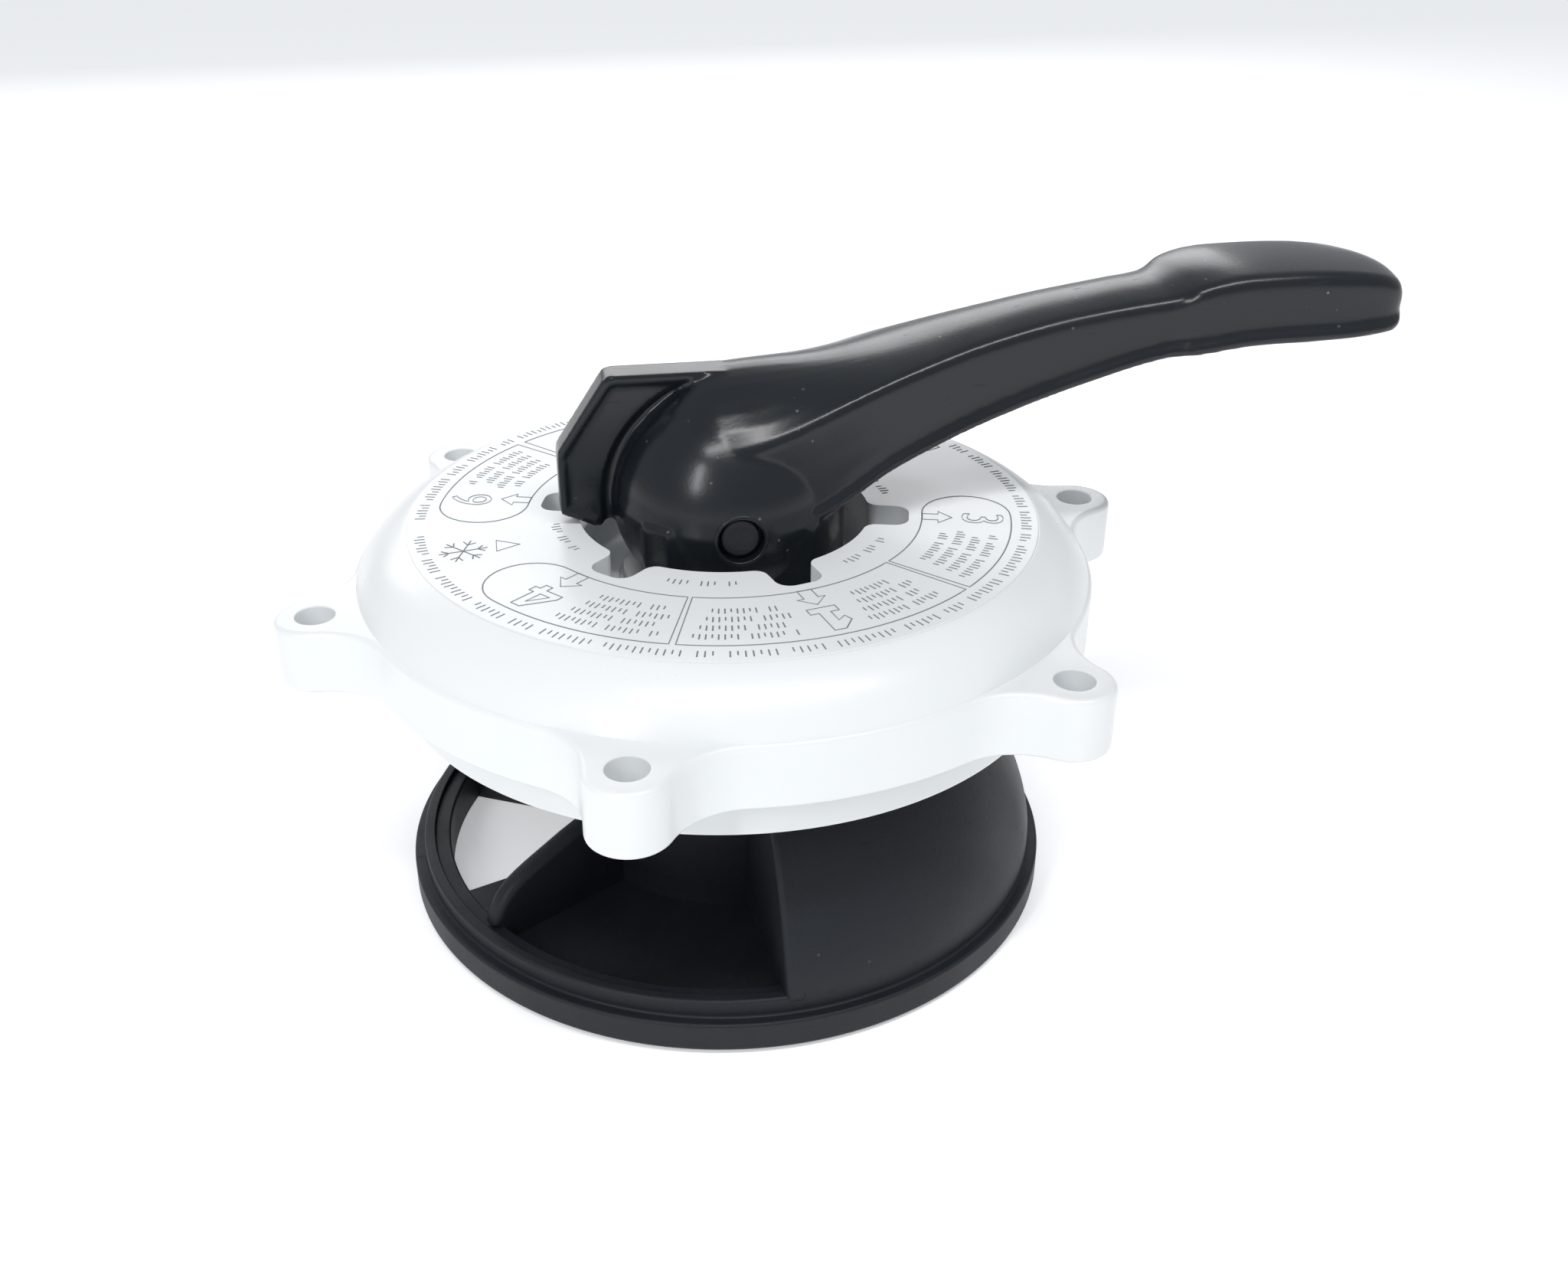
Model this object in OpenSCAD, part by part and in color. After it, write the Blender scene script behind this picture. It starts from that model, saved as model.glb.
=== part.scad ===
// Top assembly of a six-position multiport valve for a pool filter:
// cover, cam lever, stem seals, spring and rotor.
// Origin: centre of the bolt circle on the flange's underside. +X: along the lever. +Z: up.

/* [Cover flange] */
// Diameter of the bolt circle through the six ears
bolt_circle_d = 154; // [148:1:185]
// Diameter of each screw hole
bolt_hole_d = 7; // [5:0.5:8.5]
// Thickness of the flange and of its ears
flange_t = 12; // [10:0.5:15]
// Diameter of the flange between the ears
flange_d = 140; // [137:1:143]
// Width of plastic around each screw hole
ear_margin = 3.7; // [3:0.1:5]
// Radius of the hollow flare where an ear meets the flange
ear_flare_r = 14; // [10:1:18]
// Angle from the lever's rest direction to the first ear
ear_turn = 10.7; // [0:0.1:60]

/* [Cover dome] */
// Diameter of the flat dial face
dial_d = 118.7; // [112:0.1:124]
// Height of the domed skirt above the flange
dome_h = 9.1; // [8:0.1:11]
// Outward bulge of the skirt from a straight cone
skirt_bulge = 1.5; // [0.5:0.1:2]
// Thickness of the dial face and skirt
cover_wall = 4.5; // [3.5:0.1:5]
// Width of the stiffening ribs under the dial
cover_rib_w = 3; // [2:0.5:5]
// Diameter of the round well that holds the lever's head
well_d = 55; // [52:0.5:58]
// Depth of the well below the dial face
well_depth = 14; // [12:0.5:16]
// Number of index positions
slot_count = 6; // [4:1:7]
// Width of an index slot
slot_w = 8.7; // [8:0.1:10]
// Radius that the outer ends of the slots reach
slot_reach = 35; // [33:0.5:38]
// Depth of an index slot below the dial face
slot_depth = 6; // [5:0.5:8]
// Angle from the lever's rest direction to the first slot
slot_turn = -15; // [-25:1:-12]

/* [Cover spigot] */
// Outside diameter of the round spigot under the flange
spigot_d = 127.9; // [126:0.1:130]
// Length of the spigot below the flange
spigot_h = 9.3; // [7:0.1:12]
// Wall of the spigot
spigot_wall = 4.5; // [4:0.1:6]
// Thickness of the seal ring under the flange
cover_seal_t = 3; // [2.5:0.1:3.2]

/* [Stem and seals] */
// Diameter of the rotor's stem
stem_d = 20; // [18:0.5:21]
// Radial clearance of the stem in the cover
stem_fit = 0.05; // [0.02:0.01:0.1]
// Length of the stem bore below the well floor
boss_h = 14; // [13:0.5:16]
// Wall of the boss around the stem
boss_wall = 5; // [4:0.5:6]
// Cord thickness of the two stem seals
stem_seal_t = 2.4; // [2:0.1:2.6]
// Distance between the two stem seals
stem_seal_pitch = 5; // [4.5:0.1:6]

/* [Washers and spring] */
// Thickness of the plastic slide washer
slide_washer_t = 2; // [1.5:0.1:3]
// Thickness of the steel washers
steel_washer_t = 1; // [0.8:0.1:1.5]
// Radial width of the slide washer
slide_washer_w = 9.2; // [8:0.1:10]
// Wire thickness of the spring
spring_wire = 4; // [3:0.25:4.5]
// Mean coil diameter of the spring
spring_coil_d = 41; // [40:0.5:44]
// Number of coils of the spring
spring_turns = 4.5; // [4:0.5:5]

/* [Rotor] */
// Diameter of the rotor's lower ring
rotor_d = 129.6; // [127:0.1:135]
// Height of the rotor below the flange's underside
rotor_drop = 55.3; // [52:0.1:62]
// Height of the lower ring
rotor_band_h = 6; // [5:0.1:8]
// Step between the lower ring and the bell above it
rotor_step = 2.2; // [1.5:0.1:3]
// Wall of the bell and of its partitions
rotor_wall = 4; // [3:0.1:5]
// Height of the rotor's flat top below the flange's underside
rotor_top_drop = 12; // [11:0.5:15]
// Depth of the spring pocket in the rotor
pocket_depth = 18; // [16:0.5:20]
// Direction of the partition between window and blank pocket
window_side = -147; // [-160:1:-140]
// Drop of the low wall beside the window, below the flange's underside
side_wall_drop = 34; // [31:0.5:38]
// Angle between two partitions
sector_pitch = 60; // [56:1:62]
// Thickness of the spoked gasket
gasket_t = 3; // [2.5:0.1:4]
// Height that the gasket stands out of its groove
gasket_proud = 0.5; // [0.3:0.1:0.8]

/* [Lever] */
// Height of the pivot pin above the flange's underside
pin_z = 24; // [23:0.1:25]
// Diameter of the pivot pin
pin_d = 7.2; // [6:0.1:8]
// Radial clearance of the pin in the stem and the lever
pin_fit = 0.05; // [0.02:0.01:0.1]
// Diameter of the lever's round head
head_d = 43.5; // [41:0.5:45]
// Height of the lever's top over its head, above the flange's underside
head_top_z = 49; // [48:0.1:50]
// Reach of the lever from the valve's axis to its tip
lever_reach = 127.5; // [110:0.5:150]
// Width of the paddle
paddle_w = 27; // [25:0.5:30]
// Length of the paddle
paddle_l = 46; // [40:1:52]
// Height of the paddle's top above the flange's underside
paddle_top_z = 66; // [64:0.5:68]
// Width of the lever's narrow neck
neck_w = 22; // [20:0.5:24]
// Wall of the hollow lever
lever_wall = 4; // [3:0.1:5]
// Reach of the index fin from the valve's axis
fin_reach = 31; // [30:0.1:32]
// Thickness of the index fin
fin_t = 6.6; // [5:0.1:7]
// Reach of the cam foot on the lever's side
foot_reach = 15; // [13:0.1:16]

/* [Hidden] */

$fn = 96;
overcut = 1;

tangent_lap = 0.02;
ear_count = 6;
ear_r = bolt_hole_d / 2 + ear_margin;
bolt_r = bolt_circle_d / 2;
flange_r = flange_d / 2;
dial_r = dial_d / 2;
dial_z = flange_t + dome_h;
well_r = well_d / 2;
well_z = dial_z - well_depth;
well_wall = 3;
cup_floor_t = 4.5;
cup_z = well_z - cup_floor_t;
slot_floor_t = 3;
slot_round = 2.8;
spigot_r = spigot_d / 2;
spigot_in_r = spigot_r - spigot_wall;
seal_gap = 0.1;
seal_in_r = spigot_r + 1;
seal_proud = 0.7;

stem_r = stem_d / 2;
bore_r = stem_r + stem_fit;
boss_r = bore_r + boss_wall;
boss_z = well_z - boss_h;
seal_depth = stem_seal_t + seal_gap;
stem_seal_mid_z = well_z - boss_h / 2 - 1.5;

washer_gap = 0.3;
slide_z = well_z + steel_washer_t;
foot_z = slide_z + slide_washer_t;
washer_out_r = bore_r + washer_gap + slide_washer_w;

spring_r = spring_coil_d / 2;
rotor_z = -rotor_drop;
rotor_top_z = -rotor_top_drop;
pocket_z = rotor_top_z - pocket_depth;
pocket_r = spring_r + spring_wire / 2 + 3;
hub_r = pocket_r + rotor_wall;
slide_ring_t = 2;
spring_top_z = cup_z - steel_washer_t;
spring_low_z = pocket_z + slide_ring_t;

rotor_r = rotor_d / 2;
bell_r = rotor_r - rotor_step;
band_z = rotor_z + rotor_band_h;
ring_wall = 5.2;
ring_in_r = bell_r - ring_wall;
lip_z = band_z + 3.5;
bell_top_r = hub_r + 11;
plate_t = 5;
gasket_w = 3.4;
gasket_r = ring_in_r + ring_wall / 2;
groove_d = gasket_t - gasket_proud;
spoke_in_r = hub_r - rotor_wall / 2;

pin_r = pin_d / 2;
pin_recess_r = 4.5;
pin_recess_depth = 1.6;
pin_end_y = head_d / 2 - pin_recess_depth;
head_r = head_d / 2;
head_z = pin_z + 1;
eye_t = 14;
eye_r = stem_r - 1;
eye_gap = 0.4;
eye_z = well_z - 1;
tilt_max = 15;

// Points along a cubic curve from a to d with handles b and c
function curve(a, b, c, d, n = 8) = [for (i = [0 : n]) let (t = i / n, u = 1 - t)
    u * u * u * a + 3 * u * u * t * b + 3 * u * t * t * c + t * t * t * d];

// Point at radius r and angle a
function polar(r, a) = [r * cos(a), r * sin(a)];

// Ring with a rectangular section between two radii and two heights
module ring(in_r, out_r, low, high) {
    translate([0, 0, low])
        difference() {
            cylinder(r = out_r, h = high - low);
            translate([0, 0, -overcut])
                cylinder(r = in_r, h = high - low + 2 * overcut);
        }
}

// Round cord bent into a ring
module o_ring(mid_r, cord_r, z) {
    translate([0, 0, z])
        rotate_extrude()
            translate([mid_r, 0])
                circle(r = cord_r, $fn = 48);
}

// Wedge from one angle to another, under half a turn, far wider than the part
module wedge(from, to, low, high) {
    reach = bolt_circle_d;
    mid = (from + to) / 2;
    translate([0, 0, low])
        linear_extrude(high - low)
            polygon([[0, 0], polar(reach, from), polar(reach * 1.6, mid), polar(reach, to)]);
}

// ---------- cover ----------

// Outline of one ear with its hollow flares
module ear_outline() {
    flare_reach = flange_r + ear_flare_r;
    ear_side = ear_r + ear_flare_r;
    flare_turn = acos((flare_reach * flare_reach + bolt_r * bolt_r - ear_side * ear_side)
        / (2 * bolt_r * flare_reach));
    translate([bolt_r, 0])
        circle(r = ear_r);
    difference() {
        polygon([[0, 0], polar(flare_reach, -flare_turn), [bolt_r, 0], polar(flare_reach, flare_turn)]);
        for (side = [-1, 1])
            translate(polar(flare_reach, side * flare_turn))
                circle(r = ear_flare_r + tangent_lap);
    }
}

module flange() {
    linear_extrude(flange_t)
        union() {
            circle(r = flange_r);
            for (i = [0 : ear_count - 1])
                rotate(ear_turn + i * 360 / ear_count)
                    ear_outline();
        }
}

// Convex line of the skirt from the flange's edge to the dial's edge
function skirt_line(low_r, low_z, high_r, high_z) =
    let (run = [high_r - low_r, high_z - low_z], out = [run[1], -run[0]] / norm(run) * skirt_bulge)
    curve([low_r, low_z], [low_r, low_z] + run / 3 + out, [low_r, low_z] + run * 2 / 3 + out,
        [high_r, high_z]);

module dome() {
    rotate_extrude()
        polygon(concat([[0, flange_t - overcut], [flange_r, flange_t - overcut]],
            skirt_line(flange_r, flange_t, dial_r, dial_z), [[0, dial_z]]));
}

// Hollow under the dome and inside the spigot
module cover_hollow() {
    roof_z = dial_z - cover_wall;
    rotate_extrude()
        polygon(concat([[0, -spigot_h - overcut], [spigot_in_r, -spigot_h - overcut]],
            skirt_line(spigot_in_r, flange_t - cover_wall, dial_r - cover_wall, roof_z),
            [[0, roof_z]]));
}

// Cup around the well, the thick ring that holds the slots, the boss and the ribs
module cup() {
    translate([0, 0, cup_z])
        cylinder(r = well_r + well_wall, h = dial_z - cup_z);
    slot_z = dial_z - slot_depth - slot_floor_t;
    translate([0, 0, slot_z])
        cylinder(r = slot_reach + well_wall, h = dial_z - slot_z);
    translate([0, 0, boss_z])
        cylinder(r = boss_r, h = well_z - boss_z);
    for (i = [0 : ear_count - 1])
        rotate(ear_turn + i * 360 / ear_count)
            translate([well_r + well_wall / 2, -cover_rib_w / 2, cup_z + overcut])
                cube([spigot_in_r - well_r, cover_rib_w, dial_z - cup_z - overcut - cover_wall / 2]);
}

// Radial slot with two rounded outer corners
module index_slot() {
    inner = well_r - 3;
    translate([0, 0, dial_z - slot_depth])
        linear_extrude(slot_depth + overcut)
            union() {
                translate([inner, -slot_w / 2])
                    square([slot_reach - slot_round - inner, slot_w]);
                translate([inner, -slot_w / 2 + slot_round])
                    square([slot_reach - inner, slot_w - 2 * slot_round]);
                for (side = [-1, 1])
                    translate([slot_reach - slot_round, side * (slot_w / 2 - slot_round)])
                        circle(r = slot_round);
            }
}

module cover() {
    color("white")
        difference() {
            union() {
                difference() {
                    union() {
                        flange();
                        dome();
                        translate([0, 0, -spigot_h])
                            cylinder(r = spigot_r, h = spigot_h + overcut);
                    }
                    cover_hollow();
                }
                cup();
            }
            translate([0, 0, well_z])
                cylinder(r = well_r, h = well_depth + overcut);
            for (i = [0 : slot_count - 1])
                rotate(slot_turn + i * 360 / slot_count)
                    index_slot();
            translate([0, 0, boss_z - overcut])
                cylinder(r = bore_r, h = boss_h + 2 * overcut);
            for (i = [0 : ear_count - 1])
                rotate(ear_turn + i * 360 / ear_count)
                    translate([bolt_r, 0, -overcut])
                        cylinder(d = bolt_hole_d, h = flange_t + 2 * overcut);
            ring(seal_in_r, seal_in_r + cover_seal_t + 2 * seal_gap, -overcut, cover_seal_t - seal_proud);
        }
}

module cover_seal_ring() {
    color([0.08, 0.08, 0.08])
        o_ring(seal_in_r + seal_gap + cover_seal_t / 2, cover_seal_t / 2, cover_seal_t / 2 - seal_proud);
}

// ---------- washers, seals and spring ----------

module slide_washer() {
    color([0.85, 0.84, 0.78])
        ring(bore_r + washer_gap, washer_out_r, slide_z, foot_z);
}

module steel_washer() {
    color("silver")
        ring(bore_r + washer_gap, washer_out_r + 1, well_z, slide_z);
}

module stem_seal(z) {
    color([0.06, 0.06, 0.06])
        o_ring(stem_r - stem_seal_t / 2, stem_seal_t / 2, z);
}

module stem_seal_upper() {
    stem_seal(stem_seal_mid_z + stem_seal_pitch / 2);
}

module stem_seal_lower() {
    stem_seal(stem_seal_mid_z - stem_seal_pitch / 2);
}

module spring_washer_upper() {
    color("silver")
        ring(boss_r + washer_gap, pocket_r - 1, spring_top_z, cup_z);
}

module spring_slide_ring() {
    color([0.85, 0.84, 0.78])
        ring(stem_r + 3 * washer_gap, pocket_r - washer_gap, pocket_z, spring_low_z);
}

// Helical spring with closed end coils, swept as a tube of eight sides
module spring() {
    steps = 16;
    sides = 8;
    wire_r = spring_wire / 2;
    low = spring_low_z + wire_r;
    rise = spring_top_z - spring_low_z - spring_wire;
    total = round(spring_turns * steps);
    function height(i) = let (t = (i / steps - 0.75) / (spring_turns - 1.5))
        low + rise * min(1, max(0, t));
    points = [for (i = [0 : total]) for (j = [0 : sides - 1])
        let (a = i * 360 / steps, b = (j + 0.5) * 360 / sides, r = spring_r + wire_r * cos(b))
        [r * cos(a), r * sin(a), height(i) + wire_r * sin(b)]];
    tube = [for (i = [0 : total - 1]) for (j = [0 : sides - 1])
        let (a = i * sides + j, b = i * sides + (j + 1) % sides) [a, b, b + sides, a + sides]];
    first = [for (j = [sides - 1 : -1 : 0]) j];
    last = [for (j = [0 : sides - 1]) total * sides + j];
    color("silver")
        polyhedron(points = points, faces = concat([first], tube, [last]), convexity = 6);
}

// ---------- rotor ----------

// Convex line of the bell, from the ring to the flat top
function bell_line(low_r, low_z, high_r, high_z) = curve([low_r, low_z],
    [low_r, low_z + 8.5], [high_r + 12, high_z - 6], [high_r, high_z], 14);

// Solid inside of the bell and ring
module bell_solid() {
    rotate_extrude()
        polygon(concat([[0, rotor_z], [rotor_r, rotor_z], [rotor_r, band_z], [bell_r, band_z]],
            bell_line(bell_r, band_z + 3, bell_top_r, rotor_top_z), [[0, rotor_top_z]]));
}

// Hollow under the bell, between hub and ring
module bell_hollow() {
    rotate_extrude()
        polygon(concat([[hub_r, rotor_z - overcut], [ring_in_r, rotor_z - overcut]],
            bell_line(ring_in_r, band_z + 2, bell_top_r - rotor_wall, rotor_top_z - rotor_wall),
            [[hub_r, rotor_top_z - rotor_wall]]));
}

// Partition from the hub to the ring at one angle
module partition(angle, high) {
    intersection() {
        bell_solid();
        rotate(angle)
            translate([hub_r - rotor_wall / 2, -rotor_wall / 2, rotor_z])
                cube([rotor_r, rotor_wall, high - rotor_z]);
    }
}

// Low wall between window and blank pocket, falling outwards to the ring
module low_wall() {
    wall_end = bell_r - 3;
    wall_z = -side_wall_drop;
    intersection() {
        partition(window_side, 0);
        rotate_extrude()
            polygon(concat([[0, rotor_z], [wall_end, rotor_z]],
                curve([wall_end, lip_z], [wall_end - 2, wall_z - 4.5], [wall_end - 7, wall_z - 4],
                    [hub_r + 12, wall_z], 8),
                [[hub_r, wall_z + 3.5], [0, wall_z + 3.5]]));
    }
}

blank_side = window_side + sector_pitch;
window_end = window_side - sector_pitch;
half_wall = 2.4;
window_web = 12;

// Space of the sector that is open right through, with its corner webs left standing
module window_cut() {
    difference() {
        wedge(window_end + half_wall, window_side - window_web, rotor_z - overcut, rotor_top_z + overcut);
        cylinder(r = hub_r, h = 4 * rotor_drop, center = true);
        ring(ring_in_r, rotor_r + overcut, rotor_z - 2 * overcut, lip_z);
    }
}

// Space above the blank sector's plate, between its two partitions
module blank_cut() {
    difference() {
        wedge(window_side + half_wall, blank_side - half_wall, rotor_z + plate_t, rotor_top_z + overcut);
        cylinder(r = hub_r, h = 4 * rotor_drop, center = true);
        ring(ring_in_r, rotor_r + overcut, rotor_z - 2 * overcut, lip_z);
    }
}

// Plate that closes the blank sector below
module blank_plate() {
    intersection() {
        ring(hub_r - 1, ring_in_r + 1, rotor_z, rotor_z + plate_t);
        wedge(window_side, blank_side, rotor_z, rotor_z + plate_t);
    }
}

// Web in the window's corner beside the partition
module window_corner() {
    intersection() {
        ring(hub_r - 1, ring_in_r + 1, rotor_z, lip_z);
        wedge(window_side - window_web, window_side, rotor_z, lip_z);
    }
}

// Stem with its seal grooves and the flat eye for the pin
module stem() {
    difference() {
        union() {
            translate([0, 0, pocket_z - overcut])
                cylinder(r = stem_r, h = eye_z - pocket_z + overcut);
            intersection() {
                translate([0, 0, eye_z - overcut])
                    cylinder(r = stem_r, h = pin_z + eye_r - eye_z + overcut);
                union() {
                    translate([-eye_r, -eye_t / 2, eye_z - overcut])
                        cube([2 * eye_r, eye_t, pin_z - eye_z + overcut]);
                    translate([0, 0, pin_z])
                        rotate([90, 0, 0])
                            cylinder(r = eye_r, h = eye_t, center = true);
                }
            }
        }
        for (side = [-1, 1])
            ring(stem_r - seal_depth, stem_r + overcut,
                stem_seal_mid_z + side * stem_seal_pitch / 2 - stem_seal_t / 2 - seal_gap,
                stem_seal_mid_z + side * stem_seal_pitch / 2 + stem_seal_t / 2 + seal_gap);
        translate([0, 0, pin_z])
            rotate([90, 0, 0])
                cylinder(r = pin_r + pin_fit, h = stem_d + 2 * overcut, center = true);
    }
}

// Spokes and rings of the gasket or of its groove
module spider(width, low, high) {
    ring(gasket_r - width / 2, gasket_r + width / 2, low, high);
    ring(spoke_in_r - width / 2, spoke_in_r + width / 2, low, high);
    for (i = [0 : 5])
        rotate(window_side + i * sector_pitch)
            translate([spoke_in_r, -width / 2, low])
                cube([gasket_r - spoke_in_r, width, high - low]);
}

module rotor() {
    color([0.13, 0.14, 0.16])
        union() {
            difference() {
                union() {
                    difference() {
                        bell_solid();
                        bell_hollow();
                    }
                    low_wall();
                    partition(window_end, 0);
                    partition(blank_side, 0);
                    for (i = [1 : 3])
                        partition(blank_side + i * sector_pitch, lip_z);
                    blank_plate();
                    window_corner();
                }
                window_cut();
                blank_cut();
                translate([0, 0, pocket_z])
                    cylinder(r = pocket_r, h = pocket_depth + overcut);
                translate([0, 0, rotor_z - overcut])
                    cylinder(r = hub_r - rotor_wall, h = pocket_z - rotor_wall - rotor_z + overcut);
                spider(gasket_w, rotor_z - overcut, rotor_z + groove_d);
            }
            stem();
        }
}

module rotor_gasket() {
    color([0.05, 0.05, 0.05])
        spider(gasket_w - 2 * seal_gap, rotor_z - gasket_proud, rotor_z + groove_d);
}

// ---------- lever ----------

neck_x = lever_reach - paddle_l;
neck_top_z = paddle_top_z - 3.8;
loft_sides = 32;

// Sections along the lever: distance from the axis, top, underside, half width, squareness
lever_rows = [
    [2, head_top_z - 3.6, pin_z + 3, head_r - 6.7, 2],
    [11, head_top_z - 1.2, pin_z - 3, head_r - 4.2, 2.2],
    [19, head_top_z - 0.2, pin_z - 3, head_r - 5.2, 2.4],
    [27, head_top_z + 1.7, pin_z + 2, head_r / 2 + neck_w / 4 - 1.6, 2.6],
    [neck_x * 0.46, neck_top_z - 8.3, pin_z + 11.6, neck_w / 2 + 1.8, 2.8],
    [neck_x * 0.56, neck_top_z - 6.2, pin_z + 15.2, neck_w / 2 + 0.8, 3],
    [neck_x * 0.70, neck_top_z - 3.5, pin_z + 19.2, neck_w / 2 + 0.2, 3],
    [neck_x * 0.84, neck_top_z - 1.7, paddle_top_z - 19.4, neck_w / 2, 3],
    [neck_x - 4, neck_top_z - 0.6, paddle_top_z - 16.7, neck_w / 2 + 0.4, 3],
    [neck_x, neck_top_z, paddle_top_z - 16, neck_w / 2 + 1, 3],
    [neck_x + 4, paddle_top_z - 1.8, paddle_top_z - 15.3, paddle_w / 2 - 0.4, 4],
    [neck_x + paddle_l * 0.4, paddle_top_z, paddle_top_z - 13.8, paddle_w / 2, 4.5],
    [lever_reach - 14, paddle_top_z - 0.6, paddle_top_z - 13.6, paddle_w / 2 - 0.3, 4.5],
    [lever_reach - 5, paddle_top_z - 1.4, paddle_top_z - 13, paddle_w / 2 - 1.3, 4],
    [lever_reach - 1.5, paddle_top_z - 2.6, paddle_top_z - 12.4, paddle_w / 2 - 3, 3.5],
    [lever_reach, paddle_top_z - 5, paddle_top_z - 10.5, paddle_w / 2 - 5.5, 3]
];

// Rounded section: one point for each side, between a top and a bottom height
function section(x, top, low, half, square) = [for (j = [0 : loft_sides - 1])
    let (a = j * 360 / loft_sides, power = 2 / square)
    [x, half * sign(cos(a)) * pow(abs(cos(a)), power),
        (top + low) / 2 + (top - low) / 2 * sign(sin(a)) * pow(abs(sin(a)), power)]];

// Closed body through a list of sections
module loft(sections) {
    count = len(sections);
    points = [for (s = sections) each s];
    sides = [for (i = [0 : count - 2]) for (j = [0 : loft_sides - 1])
        let (a = i * loft_sides + j, b = i * loft_sides + (j + 1) % loft_sides)
        each [[a, a + loft_sides, b + loft_sides], [a, b + loft_sides, b]]];
    first = [for (j = [0 : loft_sides - 1]) j];
    last = [for (j = [loft_sides - 1 : -1 : 0]) (count - 1) * loft_sides + j];
    polyhedron(points = points, faces = concat([first], sides, [last]), convexity = 6);
}

module lever_bar() {
    loft([for (row = lever_rows) section(row[0], row[1], row[2], row[3], row[4])]);
}

// Hollow of the lever, open below, one wall thickness inside its outer surface
module lever_hollow() {
    rows = [for (i = [4 : len(lever_rows) - 4]) lever_rows[i]];
    loft([for (row = rows) section(row[0], row[1] - lever_wall, row[2] - 30, row[3] - lever_wall,
        row[4] + 2)]);
}

fin_gap = 1.2;
fin_low_z = dial_z + 2 * fin_gap;
fin_top_z = head_top_z + 0.4;
fin_side_h = 12;
fin_slope_x = 9.5;
fin_chin_x = -24;
fin_chin_z = dial_z - 1;
fin_web_t = 3.2;
fin_web_x = -20;
fin_arc = 2;
head_x = 0.5;

// Index fin: thick plate with a thin web towards the head
module fin() {
    web_edge = fin_slope_x / 2;
    rotate([90, 0, 0]) {
        translate([0, 0, -fin_t / 2])
            linear_extrude(fin_t)
                difference() {
                    polygon([[-fin_reach, fin_low_z], [-fin_reach, fin_low_z + fin_side_h],
                        [fin_slope_x - fin_reach, fin_top_z], [0, fin_top_z],
                        [fin_web_x, fin_chin_z], [fin_chin_x, fin_chin_z],
                        [fin_arc - fin_reach, dial_z + fin_gap]]);
                    translate([head_x, head_z])
                        circle(r = head_r + fin_arc);
                }
        translate([0, 0, -fin_web_t / 2])
            linear_extrude(fin_web_t)
                polygon([[web_edge - fin_reach, head_z], [fin_web_x, fin_top_z - fin_gap],
                    [0, fin_top_z - fin_gap], [0, fin_chin_z], [fin_web_x, fin_chin_z]]);
    }
}

// Rounded foot that rolls on the slide washer, below the head
module foot() {
    foot_h = head_z - foot_z;
    foot_side = 3.7;
    toe = 8;
    intersection() {
        rotate([90, 0, 0])
            translate([0, 0, -head_r])
                linear_extrude(2 * head_r)
                    polygon(concat([[-foot_reach, foot_z]],
                        curve([foot_reach, foot_z], [foot_reach + 4, foot_z], [foot_reach + toe, foot_z + 3],
                            [foot_reach + toe, foot_z + 8], 6),
                        [[foot_reach + toe - 2, foot_z + foot_h], [-foot_reach - 2, foot_z + foot_h],
                        [-foot_reach - 2, foot_z + 5]]));
        translate([head_x, 0, foot_z])
            cylinder(r = foot_reach + toe - head_x, h = foot_h + overcut);
        translate([-head_d, foot_side - head_r, 0])
            cube([2 * head_d, 2 * (head_r - foot_side), head_top_z]);
    }
}

// Room for the stem's eye while the lever tilts
module eye_slot() {
    swing = (eye_r + eye_gap + (pin_z - foot_z) * sin(tilt_max)) / cos(tilt_max);
    translate([-swing, -eye_t / 2 - eye_gap, foot_z - overcut])
        cube([2 * swing, eye_t + 2 * eye_gap, pin_z - foot_z + overcut]);
    translate([0, 0, pin_z])
        rotate([90, 0, 0])
            cylinder(r = swing, h = eye_t + 2 * eye_gap, center = true);
}

module head() {
    base_z = foot_z + 2;
    intersection() {
        translate([head_x, 0, head_z])
            sphere(r = head_r);
        translate([-head_d, -head_d, base_z])
            cube(2 * head_d);
    }
}

// Bore for the pin, with a round recess at each end
module pin_bore() {
    translate([0, 0, pin_z])
        rotate([90, 0, 0])
            cylinder(r = pin_r + pin_fit, h = 2 * head_d, center = true);
    for (side = [-1, 1])
        translate([0, side * (pin_end_y + head_r), pin_z])
            rotate([90, 0, 0])
                cylinder(r = pin_recess_r, h = 2 * head_r, center = true);
}

module handle() {
    color([0.10, 0.11, 0.13])
        difference() {
            union() {
                head();
                foot();
                fin();
                difference() {
                    lever_bar();
                    lever_hollow();
                }
            }
            eye_slot();
            pin_bore();
        }
}

module pivot_pin() {
    color([0.12, 0.13, 0.15])
        translate([0, 0, pin_z])
            rotate([90, 0, 0])
                cylinder(r = pin_r, h = 2 * pin_end_y, center = true);
}

cover();
cover_seal_ring();
slide_washer();
steel_washer();
stem_seal_upper();
stem_seal_lower();
spring_washer_upper();
spring();
spring_slide_ring();
rotor();
rotor_gasket();
handle();
pivot_pin();
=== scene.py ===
"""Top assembly of a six-position multiport valve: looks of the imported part."""
import math

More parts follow.
